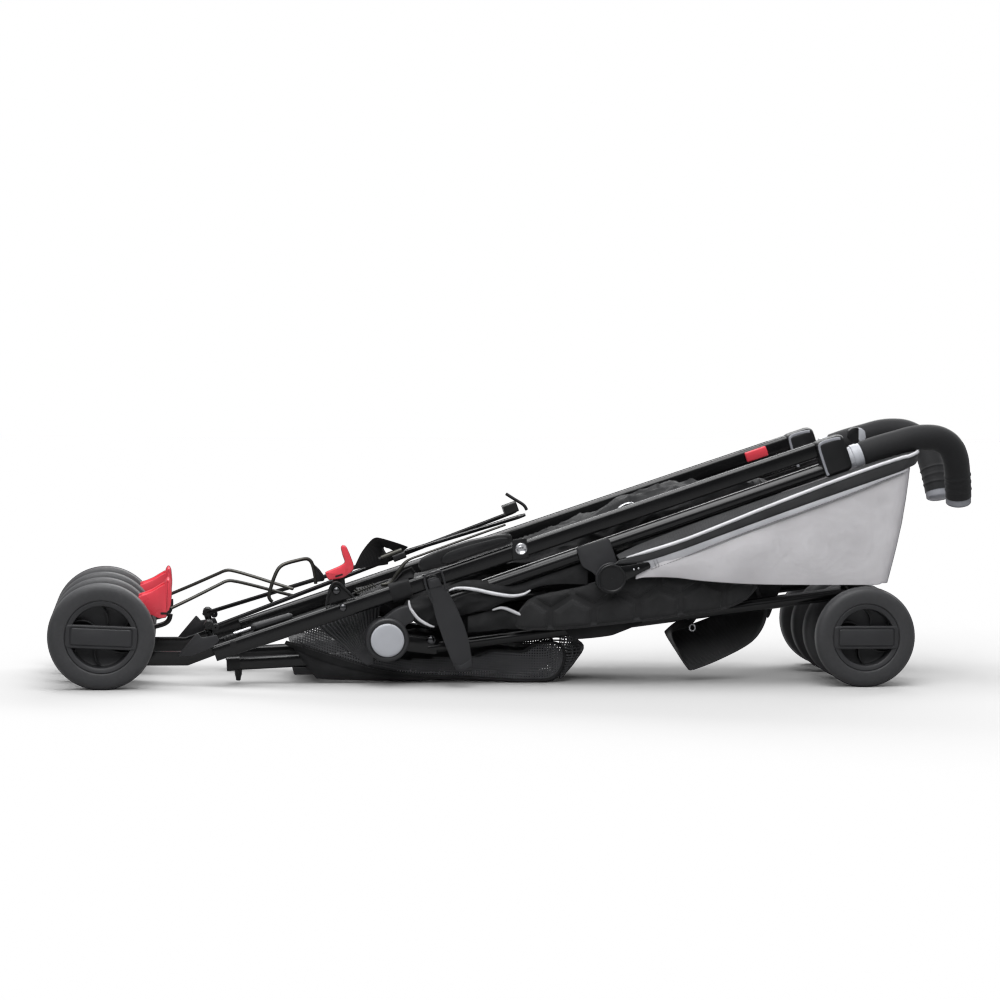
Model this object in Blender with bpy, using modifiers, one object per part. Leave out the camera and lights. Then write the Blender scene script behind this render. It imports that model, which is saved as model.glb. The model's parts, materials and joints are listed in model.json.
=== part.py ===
"""A compact umbrella-fold pushchair, folded flat and lying on its eight wheels.

Metres, +Z up. The wheels touch the ground at z = 0, the rear wheels are at -X and the
handles at +X, and the child's right side is at -Y. The origin is on the ground, under the middle
of the whole pushchair's box. Sizes along X are written from a point a little behind that, and the
finished pushchair is moved to its origin at the end.
"""
import math

import bmesh
import bpy
from mathutils import Matrix, Vector

for old in list(bpy.data.objects):
    bpy.data.objects.remove(old, do_unlink=True)

# Driving dimensions: wheels
GAP = 0.0003
RUN = 0.0006
INSET = 0.0004
REAR_TYRE_R = 0.0625
FRONT_TYRE_R = 0.060
TYRE_WIDTH = 0.024
TYRE_WALL = 0.016
WHEEL_SIDES = 24
TWIN_PITCH = 0.074
UNIT_Y = 0.074
REAR_WHEEL_X = -0.477
FRONT_WHEEL_X = 0.429
RIM_LIP = 0.0077
RIM_WEB = 0.005
HUB_BOSS_R = 0.0115
AXLE_R = 0.004
BAR_LAP = 0.001
BAR_HEIGHT = 0.028
BAR_THICKNESS = 0.004

# Driving dimensions: main and side tubes
TUBE_Y = 0.088
TUBE_WIDTH = 0.016
TUBE_DEPTH = 0.019
TUBE_FOOT = (-0.345, 0.0395)
TUBE_SLOPE = math.radians(18.7)
TUBE_LENGTH = 0.755
TUBE_TOP_X = TUBE_FOOT[0] + TUBE_LENGTH * math.cos(TUBE_SLOPE)
TUBE_TOP_Z = TUBE_FOOT[1] + TUBE_LENGTH * math.sin(TUBE_SLOPE)
TUBE_EDGE = 0.0025
SIDE_TUBE_Y = 0.092
SIDE_TUBE_R = 0.009
SIDE_TUBE_FOOT = (-0.112, 0.0885)
SIDE_TUBE_DROP = 0.0255
TUBE_SIDES_RESOLUTION = 2

# Driving dimensions: the hinge that the front legs and seat rails turn on
HINGE = (-0.1423, 0.056)
HOUSING_R = 0.026
HOUSING_IN_Y = 0.083
HOUSING_OUT_Y = 0.107
CAP_R = 0.0194
CAP_THICKNESS = 0.0025
HOUSING_ARM = 0.021

# Driving dimensions: rear legs and hubs
LEG_WIDTH = 0.012
LEG_DEPTH = 0.016
LEG_ROUTE = ((-0.4517, 0.032), (-0.378, 0.032), (-0.312, 0.057))
HUB_WIDTH = 0.044
HUB_R = 0.020
EAR_R = 0.008
EAR_WIDTH = 0.016
BRAKE_PIVOT = (-0.4235, 0.0895)
BRAKE_WIDTH = 0.038

# Driving dimensions: front legs and casters
FRONT_LEG_R = 0.0075
LEG_KNEE = (-0.080, 0.045)
STEM_ANGLE = math.radians(125.3)
STEM_TRAIL = 0.028
STEM_R = 0.006
SOCKET_R = 0.0135
SOCKET_FROM = 0.030
SOCKET_TO = 0.062
FORK_WIDTH = 0.040
FORK_R = 0.014

# Driving dimensions: seat rails
RAIL_Y = 0.055
RAIL_SIDE = 0.014
RAIL_NEAR_HINGE = (-0.130, 0.0325)
RAIL_END = (-0.3295, 0.0225)
RAIL_EYE_R = 0.012

# Driving dimensions: cross brace and brake link rods
BRACE_FOOT = (-0.352, 0.0665)
BRACE_Y = 0.0725
BRACE_SLOPE = math.radians(19.1)
BRACE_LENGTH = 0.415
BRACE_TURN = math.radians(18.3)
BRACE_WIDTH = 0.010
BRACE_THICKNESS = 0.0035
BRACE_LAYER = BRACE_THICKNESS + RUN
LINK_Y = 0.0505
LUG_POST_R = 0.0040
LINK_FOOT = (-0.397, 0.0885)
LINK_APEX = (-0.326, 0.1205)
LINK_TIP = (-0.250, 0.099)
LINK_TURN = math.radians(17.6)
LINK_R = 0.0030
LINK_LAYER = 0.0075

# Driving dimensions: handles
CONNECTOR_LENGTH = 0.034
CONNECTOR_DEPTH = 0.045
CONNECTOR_DROP = 0.0125
COLLAR_R = 0.0150
CONNECTOR_IN_Y = 0.077
CONNECTOR_OUT_Y = 0.1055
GRIP_R = 0.0155
GRIP_FROM_TUBE_TOP = (
    (0.0561, -0.0048, 0.0895), (0.0999, 0.0084, 0.0895), (0.1329, 0.0164, 0.0880), (0.1609, 0.0104, 0.0820),
    (0.1744, -0.0076, 0.0730), (0.1789, -0.0296, 0.0630), (0.1834, -0.0596, 0.0520), (0.1864, -0.0756, 0.0470),
)

# Driving dimensions: hood
HOOD_PIVOT = (0.1225, 0.1300)
DISC_R = 0.0186
DISC_OUT_Y = 0.1112
CLAMP_IN_Y = 0.1014
CLAMP_OUT_Y = 0.1070
HOOD_WALL_Y = 0.1115
HOOD_WALL = 0.003
HOOD_ARM_THICKNESS = 0.003
HOOD_ARM_WIDTH = 0.009
HOOD_ARM_ROUTE = (HOOD_PIVOT, (0.150, 0.1420), (0.169, 0.1490), (TUBE_TOP_X + 0.0499, TUBE_TOP_Z - 0.0456))
HOOD_LOW = ((0.150, 0.1275), (0.300, 0.1290), (TUBE_TOP_X + 0.0879, 0.1265), (TUBE_TOP_X + 0.0999, 0.1850),
            (TUBE_TOP_X + 0.1219, TUBE_TOP_Z - 0.0056))
HOOD_HIGH = ((0.150, 0.1560), (0.262, 0.1970), (TUBE_TOP_X + 0.0499, TUBE_TOP_Z - 0.0286),
             (TUBE_TOP_X + 0.1219, TUBE_TOP_Z - 0.0036))
HOOD_BILLOW = 0.0030
HOOD_BAND = 0.026
HOOD_SECTIONS = 14
HOOD_STEPS = 8
HOOD_END_LOW = (TUBE_TOP_X + 0.0899, 0.1300)
HOOD_END_TOP = (TUBE_TOP_X + 0.1144, TUBE_TOP_Z - 0.0266)
CLAMP_OUTLINE = (
    (0.0815, 0.1660), (0.1200, 0.1780), (0.1290, 0.1520), (0.1370, 0.1400), (0.1100, 0.1180), (0.1030, 0.1350),
    (0.0880, 0.1430),
)

# Driving dimensions: levers, clip and button
LEVER_PIVOT = (-0.199, 0.1250)
LEVER_THICKNESS = 0.006
LEVER_EAR_THICKNESS = 0.004
LOOP_FOOT = 0.078
LOOP_SPAN = 0.060
LOOP_HEIGHT = 0.040
LOOP_WIRE_R = 0.0023
LOOP_CLEAR = 0.0008
LOOP_AXIS_RISE = 0.004
CLIP_PIVOT = (-0.0880, 0.1275)
CLIP_THICKNESS = 0.0035
CLIP_BOSS_R = 0.006
CLIP_OUTLINE = (
    (-0.0990, 0.1330), (-0.0820, 0.1370), (-0.0700, 0.1150), (-0.0575, 0.0875), (-0.0475, 0.0600), (-0.0412, 0.0260),
    (-0.0545, 0.0200), (-0.0612, 0.0210), (-0.0733, 0.0480), (-0.0860, 0.0840), (-0.0945, 0.1240),
)
BUTTON_FROM_TUBE_TOP = 0.043
BUTTON_LENGTH = 0.028
BUTTON_DEPTH = 0.0125
BUTTON_THICKNESS = 0.005

# Driving dimensions: soft goods
SIDE_PAD_Y = 0.0944
SIDE_PAD_CROWN = 0.0060
SIDE_PAD_BINDING = 0.0015
SIDE_PAD_LOW = ((0.0880, 0.0700), (0.1570, 0.0780), (0.2680, 0.0870), (0.2890, 0.0955), (0.3000, 0.1120))
SIDE_PAD_HIGH = ((0.0880, 0.1180), (0.1250, 0.1290), (0.1700, 0.1330), (0.2450, 0.1240), (0.3000, 0.1180))
QUILT_START = 0.104
QUILT_PITCH = 0.052
QUILT_RISE = 0.008
CHANNEL_DEPTH = 0.0024
CHANNEL_HALF_WIDTH = 0.0052
SIDE_PAD_SECTIONS = 28
SIDE_PAD_STEPS = 10
SEAT_LOW = ((-0.1700, 0.0988), (-0.1150, 0.0860), (0.0200, 0.0950), (0.1500, 0.1050), (0.3000, 0.1320),
            (0.3400, 0.2000))
SEAT_HIGH = ((-0.1700, 0.1019), (-0.1000, 0.1280), (0.0250, 0.1680), (0.1800, 0.2330), (0.2900, 0.2540),
             (0.3350, 0.2380), (0.3400, 0.2150))
SEAT_FOLDS = 11
SEAT_FOLD_DEPTH = 0.15
SEAT_SECTIONS = 22
SEAT_RING = 44
STRAP_WIDTH = 0.036
STRAP_THICKNESS = 0.003
STRAP_IN_Y = 0.020
STRAP_ROUTE = (
    (0.3000, 0.1500), (0.3190, 0.1080), (0.3120, 0.0740), (0.2850, 0.0500), (0.2450, 0.0330), (0.2180, 0.0300),
    (0.2060, 0.0500), (0.2060, 0.0850), (0.2200, 0.1300),
)
BASKET_LOW = ((-0.2600, 0.0470), (-0.2300, 0.0300), (-0.2000, 0.0160), (-0.1500, 0.0070), (-0.0500, 0.0030),
              (0.0500, 0.0020), (0.0750, 0.0160), (0.0915, 0.0452))
BASKET_HIGH = ((-0.2600, 0.0484), (-0.1200, 0.0620), (0.0300, 0.0400), (0.0915, 0.0475))
BASKET_FOLDS = 9
BASKET_FOLD_DEPTH = 0.12
BASKET_SECTIONS = 20
BASKET_RING = 28
FOLD_DRIFT = 14.0
CORNER_ROUNDING = 0.1

RIGHT, LEFT = -1, 1
SIDE_NAMES = {RIGHT: "right", LEFT: "left"}
ALONG = Vector((math.cos(TUBE_SLOPE), 0, math.sin(TUBE_SLOPE)))
ACROSS = Vector((-math.sin(TUBE_SLOPE), 0, math.cos(TUBE_SLOPE)))
BRACE_ALONG = Vector((math.cos(BRACE_SLOPE), 0, math.sin(BRACE_SLOPE)))
BRACE_NORMAL = Vector((-math.sin(BRACE_SLOPE), 0, math.cos(BRACE_SLOPE)))
SIDE_TUBE_TOP = tuple((Vector((TUBE_TOP_X, 0, TUBE_TOP_Z)) - ACROSS * SIDE_TUBE_DROP).xz)
SEAT_HALF_WIDTH = TUBE_Y - TUBE_WIDTH / 2 - RUN
BASKET_HALF_WIDTH = RAIL_Y - RAIL_SIDE / 2 - INSET - GAP
STEM_DIR = Vector((math.cos(STEM_ANGLE), 0, math.sin(STEM_ANGLE)))
STEM_AHEAD = Vector((math.sin(STEM_ANGLE), 0, -math.cos(STEM_ANGLE)))

parts = bpy.data.collections.new("pushchair")
bpy.context.scene.collection.children.link(parts)
pivots = {}


def material(name, colour, roughness, metallic=0.0):
    mat = bpy.data.materials.new(name)
    mat.use_nodes = True
    shader = mat.node_tree.nodes["Principled BSDF"]
    shader.inputs["Base Color"].default_value = (*colour, 1.0)
    shader.inputs["Roughness"].default_value = roughness
    shader.inputs["Metallic"].default_value = metallic
    return mat


BLACK_STEEL = material("black_painted_steel", (0.012, 0.012, 0.013), 0.32, 0.4)
GREY_PLASTIC = material("dark_grey_plastic", (0.045, 0.046, 0.050), 0.5)
TYRE_FOAM = material("grey_foam_tyre", (0.050, 0.050, 0.053), 0.62)
RIM_PLASTIC = material("grey_rim_plastic", (0.055, 0.056, 0.060), 0.45)
AXLE_STEEL = material("plain_steel", (0.55, 0.55, 0.56), 0.3, 1.0)
RED_PLASTIC = material("coral_red_plastic", (0.75, 0.09, 0.13), 0.35)
GRIP_FOAM = material("charcoal_grip_foam", (0.022, 0.022, 0.024), 0.85)
BLACK_FABRIC = material("black_fabric", (0.010, 0.010, 0.011), 0.8)
SILVER_FABRIC = material("silver_grey_fabric", (0.48, 0.47, 0.48), 0.7)


def pivot(name, place, parent=None):
    """An empty on a joint's axis, for the pieces that move together."""
    empty = bpy.data.objects.new("pivot_" + name, None)
    parts.objects.link(empty)
    empty.empty_display_size = 0.02
    at = Vector(place)
    empty.location = at
    if parent:
        empty.parent = pivots[parent][0]
        empty.location = at - pivots[parent][1]
    pivots[name] = (empty, at)


def plain_mesh(obj):
    """The evaluated shape of an object as a mesh in world coordinates, in the object's place."""
    bpy.context.view_layer.update()
    seen = obj.evaluated_get(bpy.context.evaluated_depsgraph_get())
    mesh = bpy.data.meshes.new_from_object(seen)
    mesh.transform(obj.matrix_world)
    work = bmesh.new()
    work.from_mesh(mesh)
    bmesh.ops.remove_doubles(work, verts=work.verts, dist=0.000001)
    bmesh.ops.recalc_face_normals(work, faces=work.faces)
    work.to_mesh(mesh)
    work.free()
    name = obj.name
    bpy.data.objects.remove(obj, do_unlink=True)
    made = bpy.data.objects.new(name, mesh)
    parts.objects.link(made)
    return made


def combine(base, tool, operation):
    """Base joined with, or cut by, a tool that is used up."""
    step = base.modifiers.new(operation.lower(), "BOOLEAN")
    step.operation = operation
    step.solver = "EXACT"
    step.object = tool
    made = plain_mesh(base)
    bpy.data.objects.remove(tool, do_unlink=True)
    return made


def join(base, *others):
    for other in others:
        base = combine(base, other, "UNION")
    return base


def cut(base, *tools):
    for tool in tools:
        base = combine(base, tool, "DIFFERENCE")
    return base


def soften(obj, width, segments=1):
    """Rounded long edges on a plain solid."""
    edge = obj.modifiers.new("bevel", "BEVEL")
    edge.width = width
    edge.segments = segments
    edge.limit_method = "ANGLE"
    edge.angle_limit = math.radians(50)
    return plain_mesh(obj)


def finish_piece(obj, name, body, finish):
    """The piece's name, finish and place under its body's pivot."""
    empty, at = pivots[body]
    obj.name = name
    obj.data.name = name
    obj.data.transform(Matrix.Translation(-at))
    obj.parent = empty
    obj.data.materials.clear()
    obj.data.materials.append(finish)
    obj.data.shade_smooth()
    obj.data.set_sharp_from_angle(angle=math.radians(35))
    return obj


def plate(outline, y_from, y_to):
    """A flat outline in XZ, extruded between two values of y."""
    curve = bpy.data.curves.new("outline", "CURVE")
    curve.dimensions = "2D"
    curve.fill_mode = "BOTH"
    curve.extrude = abs(y_to - y_from) / 2
    line = curve.splines.new("POLY")
    line.points.add(len(outline) - 1)
    for point, (x, z) in zip(line.points, outline):
        point.co = (x, z, 0, 1)
    line.use_cyclic_u = True
    obj = bpy.data.objects.new("outline", curve)
    parts.objects.link(obj)
    obj.rotation_euler.x = math.radians(90)
    obj.location.y = (y_from + y_to) / 2
    return plain_mesh(obj)


def arc(centre, radius, start, stop, steps):
    """Points on an arc in XZ, angles in degrees."""
    points = []
    for step in range(steps + 1):
        angle = math.radians(start + (stop - start) * step / steps)
        points.append((centre[0] + radius * math.cos(angle), centre[1] + radius * math.sin(angle)))
    return points


def strip(route, width):
    """The outline of a bent flat bar of one width along a route in XZ."""
    upper, lower = [], []
    spots = [Vector(p) for p in route]
    for index, spot in enumerate(spots):
        before = (spot - spots[index - 1]).normalized() if index else (spots[1] - spot).normalized()
        after = (spots[index + 1] - spot).normalized() if index < len(spots) - 1 else before
        normal = Vector((-(before + after).y, (before + after).x)).normalized()
        reach = width / 2 / max(0.3, normal.dot(Vector((-before.y, before.x))))
        upper.append(tuple(spot + normal * reach))
        lower.append(tuple(spot - normal * reach))
    return upper + lower[::-1]


def cylinder(start, end, radius, sides=16):
    """A round bar between two points."""
    a, b = Vector(start), Vector(end)
    work = bmesh.new()
    turn = (b - a).to_track_quat("Z", "Y").to_matrix().to_4x4()
    bmesh.ops.create_cone(work, cap_ends=True, segments=sides, radius1=radius, radius2=radius,
                          depth=(b - a).length, matrix=Matrix.Translation((a + b) / 2) @ turn)
    mesh = bpy.data.meshes.new("cylinder")
    work.to_mesh(mesh)
    work.free()
    obj = bpy.data.objects.new("cylinder", mesh)
    parts.objects.link(obj)
    return obj


def box_bar(start, end, side_y, depth, edge=0.0):
    """A rectangular bar between two points, side_y wide along Y."""
    a, b = Vector(start), Vector(end)
    along = (b - a).normalized()
    across = along.cross(Vector((0, 1, 0))).normalized()
    third = across.cross(along)
    turn = Matrix((along, third, across)).transposed().to_4x4()
    work = bmesh.new()
    bmesh.ops.create_cube(work, size=1.0)
    bmesh.ops.scale(work, vec=((b - a).length, side_y, depth), verts=work.verts)
    bmesh.ops.transform(work, matrix=Matrix.Translation((a + b) / 2) @ turn, verts=work.verts)
    bmesh.ops.recalc_face_normals(work, faces=work.faces)
    mesh = bpy.data.meshes.new("bar")
    work.to_mesh(mesh)
    work.free()
    obj = bpy.data.objects.new("bar", mesh)
    parts.objects.link(obj)
    return soften(obj, edge) if edge else obj


def wire(route, radius, resolution=2):
    """A round wire or tube along a route of points."""
    curve = bpy.data.curves.new("wire", "CURVE")
    curve.dimensions = "3D"
    curve.bevel_depth = radius
    curve.bevel_resolution = resolution
    curve.use_fill_caps = True
    line = curve.splines.new("POLY")
    line.points.add(len(route) - 1)
    for point, place in zip(line.points, route):
        point.co = (*place, 1)
    obj = bpy.data.objects.new("wire", curve)
    parts.objects.link(obj)
    return plain_mesh(obj)


def smooth_route(route, steps=3):
    """Points on a smooth curve through the route's own points."""
    spots = [Vector(p) for p in route]
    made = []
    for index in range(len(spots) - 1):
        p0 = spots[max(index - 1, 0)]
        p1, p2 = spots[index], spots[index + 1]
        p3 = spots[min(index + 2, len(spots) - 1)]
        for step in range(steps):
            t = step / steps
            made.append(0.5 * ((2 * p1) + (p2 - p0) * t + (2 * p0 - 5 * p1 + 4 * p2 - p3) * t * t
                               + (3 * p1 - p0 - 3 * p2 + p3) * t ** 3))
    return made + [spots[-1]]


def turned(profile, centre, side, sides=WHEEL_SIDES):
    """A turned ring about Y. The profile is (radius, outward) and closes on itself."""
    mesh = bpy.data.meshes.new("profile")
    points = [(radius, 0, outward) for radius, outward in profile]
    edges = [(i, (i + 1) % len(points)) for i in range(len(points))]
    mesh.from_pydata(points, edges, [])
    obj = bpy.data.objects.new("turned", mesh)
    parts.objects.link(obj)
    screw = obj.modifiers.new("screw", "SCREW")
    screw.axis = "Z"
    screw.angle = math.radians(360)
    screw.steps = sides
    screw.render_steps = sides
    screw.use_merge_vertices = True
    screw.merge_threshold = 0.00001
    obj.rotation_euler = (math.radians(-90 * side), math.radians(180 / sides), 0)
    obj.location = centre
    return plain_mesh(obj)


def edge_height(line, x):
    """The height at x of an edge that is given by a few points."""
    for (x_from, z_from), (x_to, z_to) in zip(line, line[1:]):
        if x <= x_to:
            return z_from + (z_to - z_from) * (x - x_from) / (x_to - x_from)
    return line[-1][1]


def lofted(low, high, count, section):
    """A closed skin through sections along X, each a ring of (y, z) between a low and a high edge."""
    work = bmesh.new()
    rows = []
    for index in range(count):
        share = index / (count - 1)
        share -= 0.5 * math.sin(2 * math.pi * share) / (2 * math.pi)
        x = low[0][0] + (low[-1][0] - low[0][0]) * share
        ring = section(x, edge_height(low, x), edge_height(high, x), share)
        rows.append([work.verts.new((x, y, z)) for y, z in ring])
    for row, following in zip(rows, rows[1:]):
        for index in range(len(row)):
            work.faces.new((row[index - 1], row[index], following[index], following[index - 1]))
    for row in (rows[0], rows[-1]):
        work.faces.new(row)
    bmesh.ops.recalc_face_normals(work, faces=work.faces)
    mesh = bpy.data.meshes.new("lofted")
    work.to_mesh(mesh)
    work.free()
    obj = bpy.data.objects.new("lofted", mesh)
    parts.objects.link(obj)
    return obj


def gathered(half_width, folds, depth, sides):
    """Sections of gathered cloth: rounded boxes, drawn in by folds that run along and drift a little."""
    def section(x, low, high, share):
        ring = []
        for index in range(sides):
            angle = 2 * math.pi * index / sides
            c, s = math.cos(angle), math.sin(angle)
            widest = max(abs(c), abs(s))
            across, up = c / widest, s / widest
            drawn = 1 - depth * (0.5 - 0.5 * math.cos(folds * angle + FOLD_DRIFT * x)) ** 2
            wide = across * math.sqrt(1 - CORNER_ROUNDING * up * up) * drawn
            tall = up * math.sqrt(1 - CORNER_ROUNDING * across * across) * drawn
            ring.append((half_width * wide, (high + low) / 2 + (high - low) / 2 * tall))
        return ring
    return section


def tube_point(distance, rise=0.0, y=0.0):
    """A point on the main tube's centre line, raised square to the tube."""
    foot = Vector((TUBE_FOOT[0], y, TUBE_FOOT[1]))
    return foot + ALONG * distance + ACROSS * rise


def at_y(point, y):
    return (point[0], y, point[1])


def front_wheel_z():
    return FRONT_TYRE_R * math.cos(math.pi / WHEEL_SIDES)


def rear_wheel_z():
    return REAR_TYRE_R * math.cos(math.pi / WHEEL_SIDES)


def make_pivots():
    """The joint axes, each carried by the body before it."""
    pivot("frame_right", (0, 0, 0))
    pivot("frame_left", (0, 0, 0), "frame_right")
    pivot("seat_sling", (0, 0, 0), "frame_right")
    for side, name in SIDE_NAMES.items():
        frame = "frame_" + name
        stem = stem_point(0, side)
        pivot("front_leg_" + name, at_y(HINGE, side * UNIT_Y), frame)
        pivot("seat_rail_" + name, at_y(HINGE, side * RAIL_Y), frame)
        pivot("cross_bar_" + name, at_y(BRACE_FOOT, side * BRACE_Y), frame)
        pivot("link_rod_" + name, at_y(LINK_FOOT, side * LINK_Y), frame)
        pivot("caster_" + name, stem, "front_leg_" + name)
        pivot("brake_" + name, at_y(BRAKE_PIVOT, side * UNIT_Y), frame)
        pivot("hood_arm_" + name, at_y(HOOD_PIVOT, side * HOOD_WALL_Y), frame)
        for place, offset in (("outer", TWIN_PITCH / 2), ("inner", -TWIN_PITCH / 2)):
            y = side * (UNIT_Y + offset)
            pivot(f"rear_wheel_{name}_{place}", (REAR_WHEEL_X, y, rear_wheel_z()), frame)
            pivot(f"front_wheel_{name}_{place}", (FRONT_WHEEL_X, y, front_wheel_z()), "caster_" + name)
    pivot("fold_lever", at_y(LEVER_PIVOT, -TUBE_Y), "frame_right")
    loop_axis = brace_point(LOOP_FOOT, RIGHT, BRACE_THICKNESS / 2 + LOOP_CLEAR + LOOP_AXIS_RISE)
    pivot("release_loop", loop_axis, "cross_bar_right")
    pivot("storage_clip", at_y(CLIP_PIVOT, -HOUSING_OUT_Y), "frame_right")
    pivot("recline_button", tube_point(TUBE_LENGTH - BUTTON_FROM_TUBE_TOP, 0, TUBE_Y), "frame_left")


def stem_point(distance, side):
    """A point on a caster's stem axis, measured up from level with the wheel's axle."""
    wheel = Vector((FRONT_WHEEL_X, side * UNIT_Y, front_wheel_z()))
    return wheel + STEM_AHEAD * STEM_TRAIL + STEM_DIR * distance


def brace_point(distance, side, rise=0.0):
    """A point along a cross brace bar from its lower pivot."""
    foot = Vector(at_y(BRACE_FOOT, side * BRACE_Y))
    sideways = Vector((0, -side, 0))
    way = BRACE_ALONG * math.cos(BRACE_TURN) + sideways * math.sin(BRACE_TURN)
    layer = BRACE_LAYER if side == LEFT else 0.0
    return foot + way * distance + BRACE_NORMAL * (rise + layer)


def tyre(radius, centre, side, name, body):
    """A foam tyre with a rounded tread, turned about its axle."""
    half = TYRE_WIDTH / 2
    inner = radius - TYRE_WALL
    profile = [(inner, -half * 0.9), (inner, half * 0.9), (radius - 0.007, half), (radius - 0.002, half * 0.75),
               (radius, half * 0.35), (radius, -half * 0.35), (radius - 0.002, -half * 0.75), (radius - 0.007, -half)]
    finish_piece(turned(profile, centre, side), name, body, TYRE_FOAM)


def rim(radius, centre, side, name, body):
    """A rim with a deep dish on its outer side and a flat bar across the dish."""
    half = TYRE_WIDTH / 2 * 0.9
    outer = radius - TYRE_WALL - GAP
    lip = outer - RIM_LIP
    bore = AXLE_R + GAP
    profile = [(bore, -half), (bore, half * 0.4), (HUB_BOSS_R, half * 0.4), (HUB_BOSS_R, -half + RIM_WEB),
               (lip, -half + RIM_WEB), (lip, half), (outer, half), (outer, -half)]
    ring = turned(profile, centre, side)
    x, y, z = centre
    face = y + side * (half - BAR_THICKNESS / 2 - 0.0005)
    reach = lip + BAR_LAP
    bar = box_bar((x - reach, face, z), (x + reach, face, z), BAR_THICKNESS, BAR_HEIGHT)
    finish_piece(join(ring, bar), name, body, RIM_PLASTIC)


def wheels(side, name):
    """Twin wheels at the rear and at the front of one side."""
    for place, offset in (("outer", TWIN_PITCH / 2), ("inner", -TWIN_PITCH / 2)):
        y = side * (UNIT_Y + offset)
        dish_side = side if place == "outer" else -side
        for end, x, z, radius in (("rear", REAR_WHEEL_X, rear_wheel_z(), REAR_TYRE_R),
                                  ("front", FRONT_WHEEL_X, front_wheel_z(), FRONT_TYRE_R)):
            body = f"{end}_wheel_{name}_{place}"
            tyre(radius, (x, y, z), side, f"{end}_tyre_{name}_{place}", body)
            rim(radius, (x, y, z), dish_side, f"{end}_rim_{name}_{place}", body)


def axle(x, z, side, name, body):
    """A steel axle through both wheels of a pair."""
    reach = TWIN_PITCH / 2 + TYRE_WIDTH / 2 * 0.9 - BAR_THICKNESS - 0.0015
    ends = [(x, side * UNIT_Y - reach, z), (x, side * UNIT_Y + reach, z)]
    finish_piece(cylinder(*ends, AXLE_R, 12), name, body, AXLE_STEEL)


def main_tube(side, name):
    """The long rectangular tube from the rear leg up to the handle."""
    y = side * TUBE_Y
    tube = box_bar(tube_point(0, 0, y), tube_point(TUBE_LENGTH, 0, y), TUBE_WIDTH, TUBE_DEPTH, TUBE_EDGE)
    if side == RIGHT:
        tube = join(tube, lever_ear(), clip_boss())
    finish_piece(tube, "main_tube_" + name, "frame_" + name, BLACK_STEEL)


def lever_ear():
    """The steel ear beside the fold lever, standing on the right tube."""
    inner = -(TUBE_Y - TUBE_WIDTH / 2)
    spread = LEVER_EAR_THICKNESS * 2.5
    foot_z = TUBE_FOOT[1] + (LEVER_PIVOT[0] - TUBE_FOOT[0]) * math.tan(TUBE_SLOPE)
    top = arc(LEVER_PIVOT, 0.007, 0, 180, 6)
    outline = [(LEVER_PIVOT[0] - spread, foot_z)] + [(LEVER_PIVOT[0] + spread, foot_z)] + top
    return plate(outline, inner - LEVER_EAR_THICKNESS, inner - TUBE_EDGE / 10)


def clip_boss():
    """The round boss that the storage clip turns on."""
    start = -(TUBE_Y + TUBE_WIDTH / 4)
    return cylinder(at_y(CLIP_PIVOT, start), at_y(CLIP_PIVOT, -(HOUSING_OUT_Y + 0.002)), CLIP_BOSS_R, 14)


def rear_leg(side, name):
    """The flat bent leg between the rear hub and the main tube, with the brace's pivot boss."""
    leg = plate(strip(LEG_ROUTE, LEG_DEPTH), side * (UNIT_Y - LEG_WIDTH / 2), side * (UNIT_Y + LEG_WIDTH / 2 - GAP))
    foot = Vector(at_y(BRACE_FOOT, side * BRACE_Y))
    top = foot - BRACE_NORMAL * (BRACE_THICKNESS / 2 + GAP)
    if side == LEFT:
        top += BRACE_NORMAL * BRACE_LAYER
    boss = cylinder(foot - BRACE_NORMAL * 0.026, top, 0.0038, 12)
    finish_piece(join(leg, boss), "rear_leg_" + name, "frame_" + name, BLACK_STEEL)


def rear_hub(side, name):
    """The moulded hub between the rear wheels, with the brake's ear and the link rod's lug."""
    z = rear_wheel_z()
    wheel = (REAR_WHEEL_X, z)
    edge = LEG_ROUTE[0][0] - GAP
    low = LEG_ROUTE[0][1] - LEG_DEPTH / 2
    outline = arc(wheel, HUB_R, 90, 250, 10) + [(edge, low), (edge, z + 0.010)]
    hub = plate(outline, side * (UNIT_Y - HUB_WIDTH / 2), side * (UNIT_Y + HUB_WIDTH / 2))
    ear_low = (edge - 0.004, z + 0.004)
    ear = plate(strip((ear_low, BRAKE_PIVOT), 2 * EAR_R * 0.9), side * (UNIT_Y - EAR_WIDTH / 2 + INSET),
                side * (UNIT_Y + EAR_WIDTH / 2 - INSET))
    knuckle = cylinder(at_y(BRAKE_PIVOT, side * (UNIT_Y - EAR_WIDTH / 2)),
                       at_y(BRAKE_PIVOT, side * (UNIT_Y + EAR_WIDTH / 2)), EAR_R, 16)
    lug_end = Vector(at_y(LINK_FOOT, side * LINK_Y))
    lug_z = lug_end.z - LINK_R - RUN
    if side == LEFT:
        lug_z += LINK_LAYER
    lug = plate(strip(((edge - 0.006, z - 0.006), (LINK_FOOT[0], lug_z - 0.012)), 0.009),
                side * LINK_Y, side * (LINK_Y + LUG_POST_R))
    post = cylinder((lug_end.x, lug_end.y, lug_z - 0.014), (lug_end.x, lug_end.y, lug_z), LUG_POST_R + INSET, 12)
    bore = cylinder((REAR_WHEEL_X, side * (UNIT_Y - 0.05), z), (REAR_WHEEL_X, side * (UNIT_Y + 0.05), z),
                    AXLE_R + GAP, 12)
    finish_piece(cut(join(hub, ear, knuckle, lug, post), bore), "rear_hub_" + name, "frame_" + name, GREY_PLASTIC)


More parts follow.
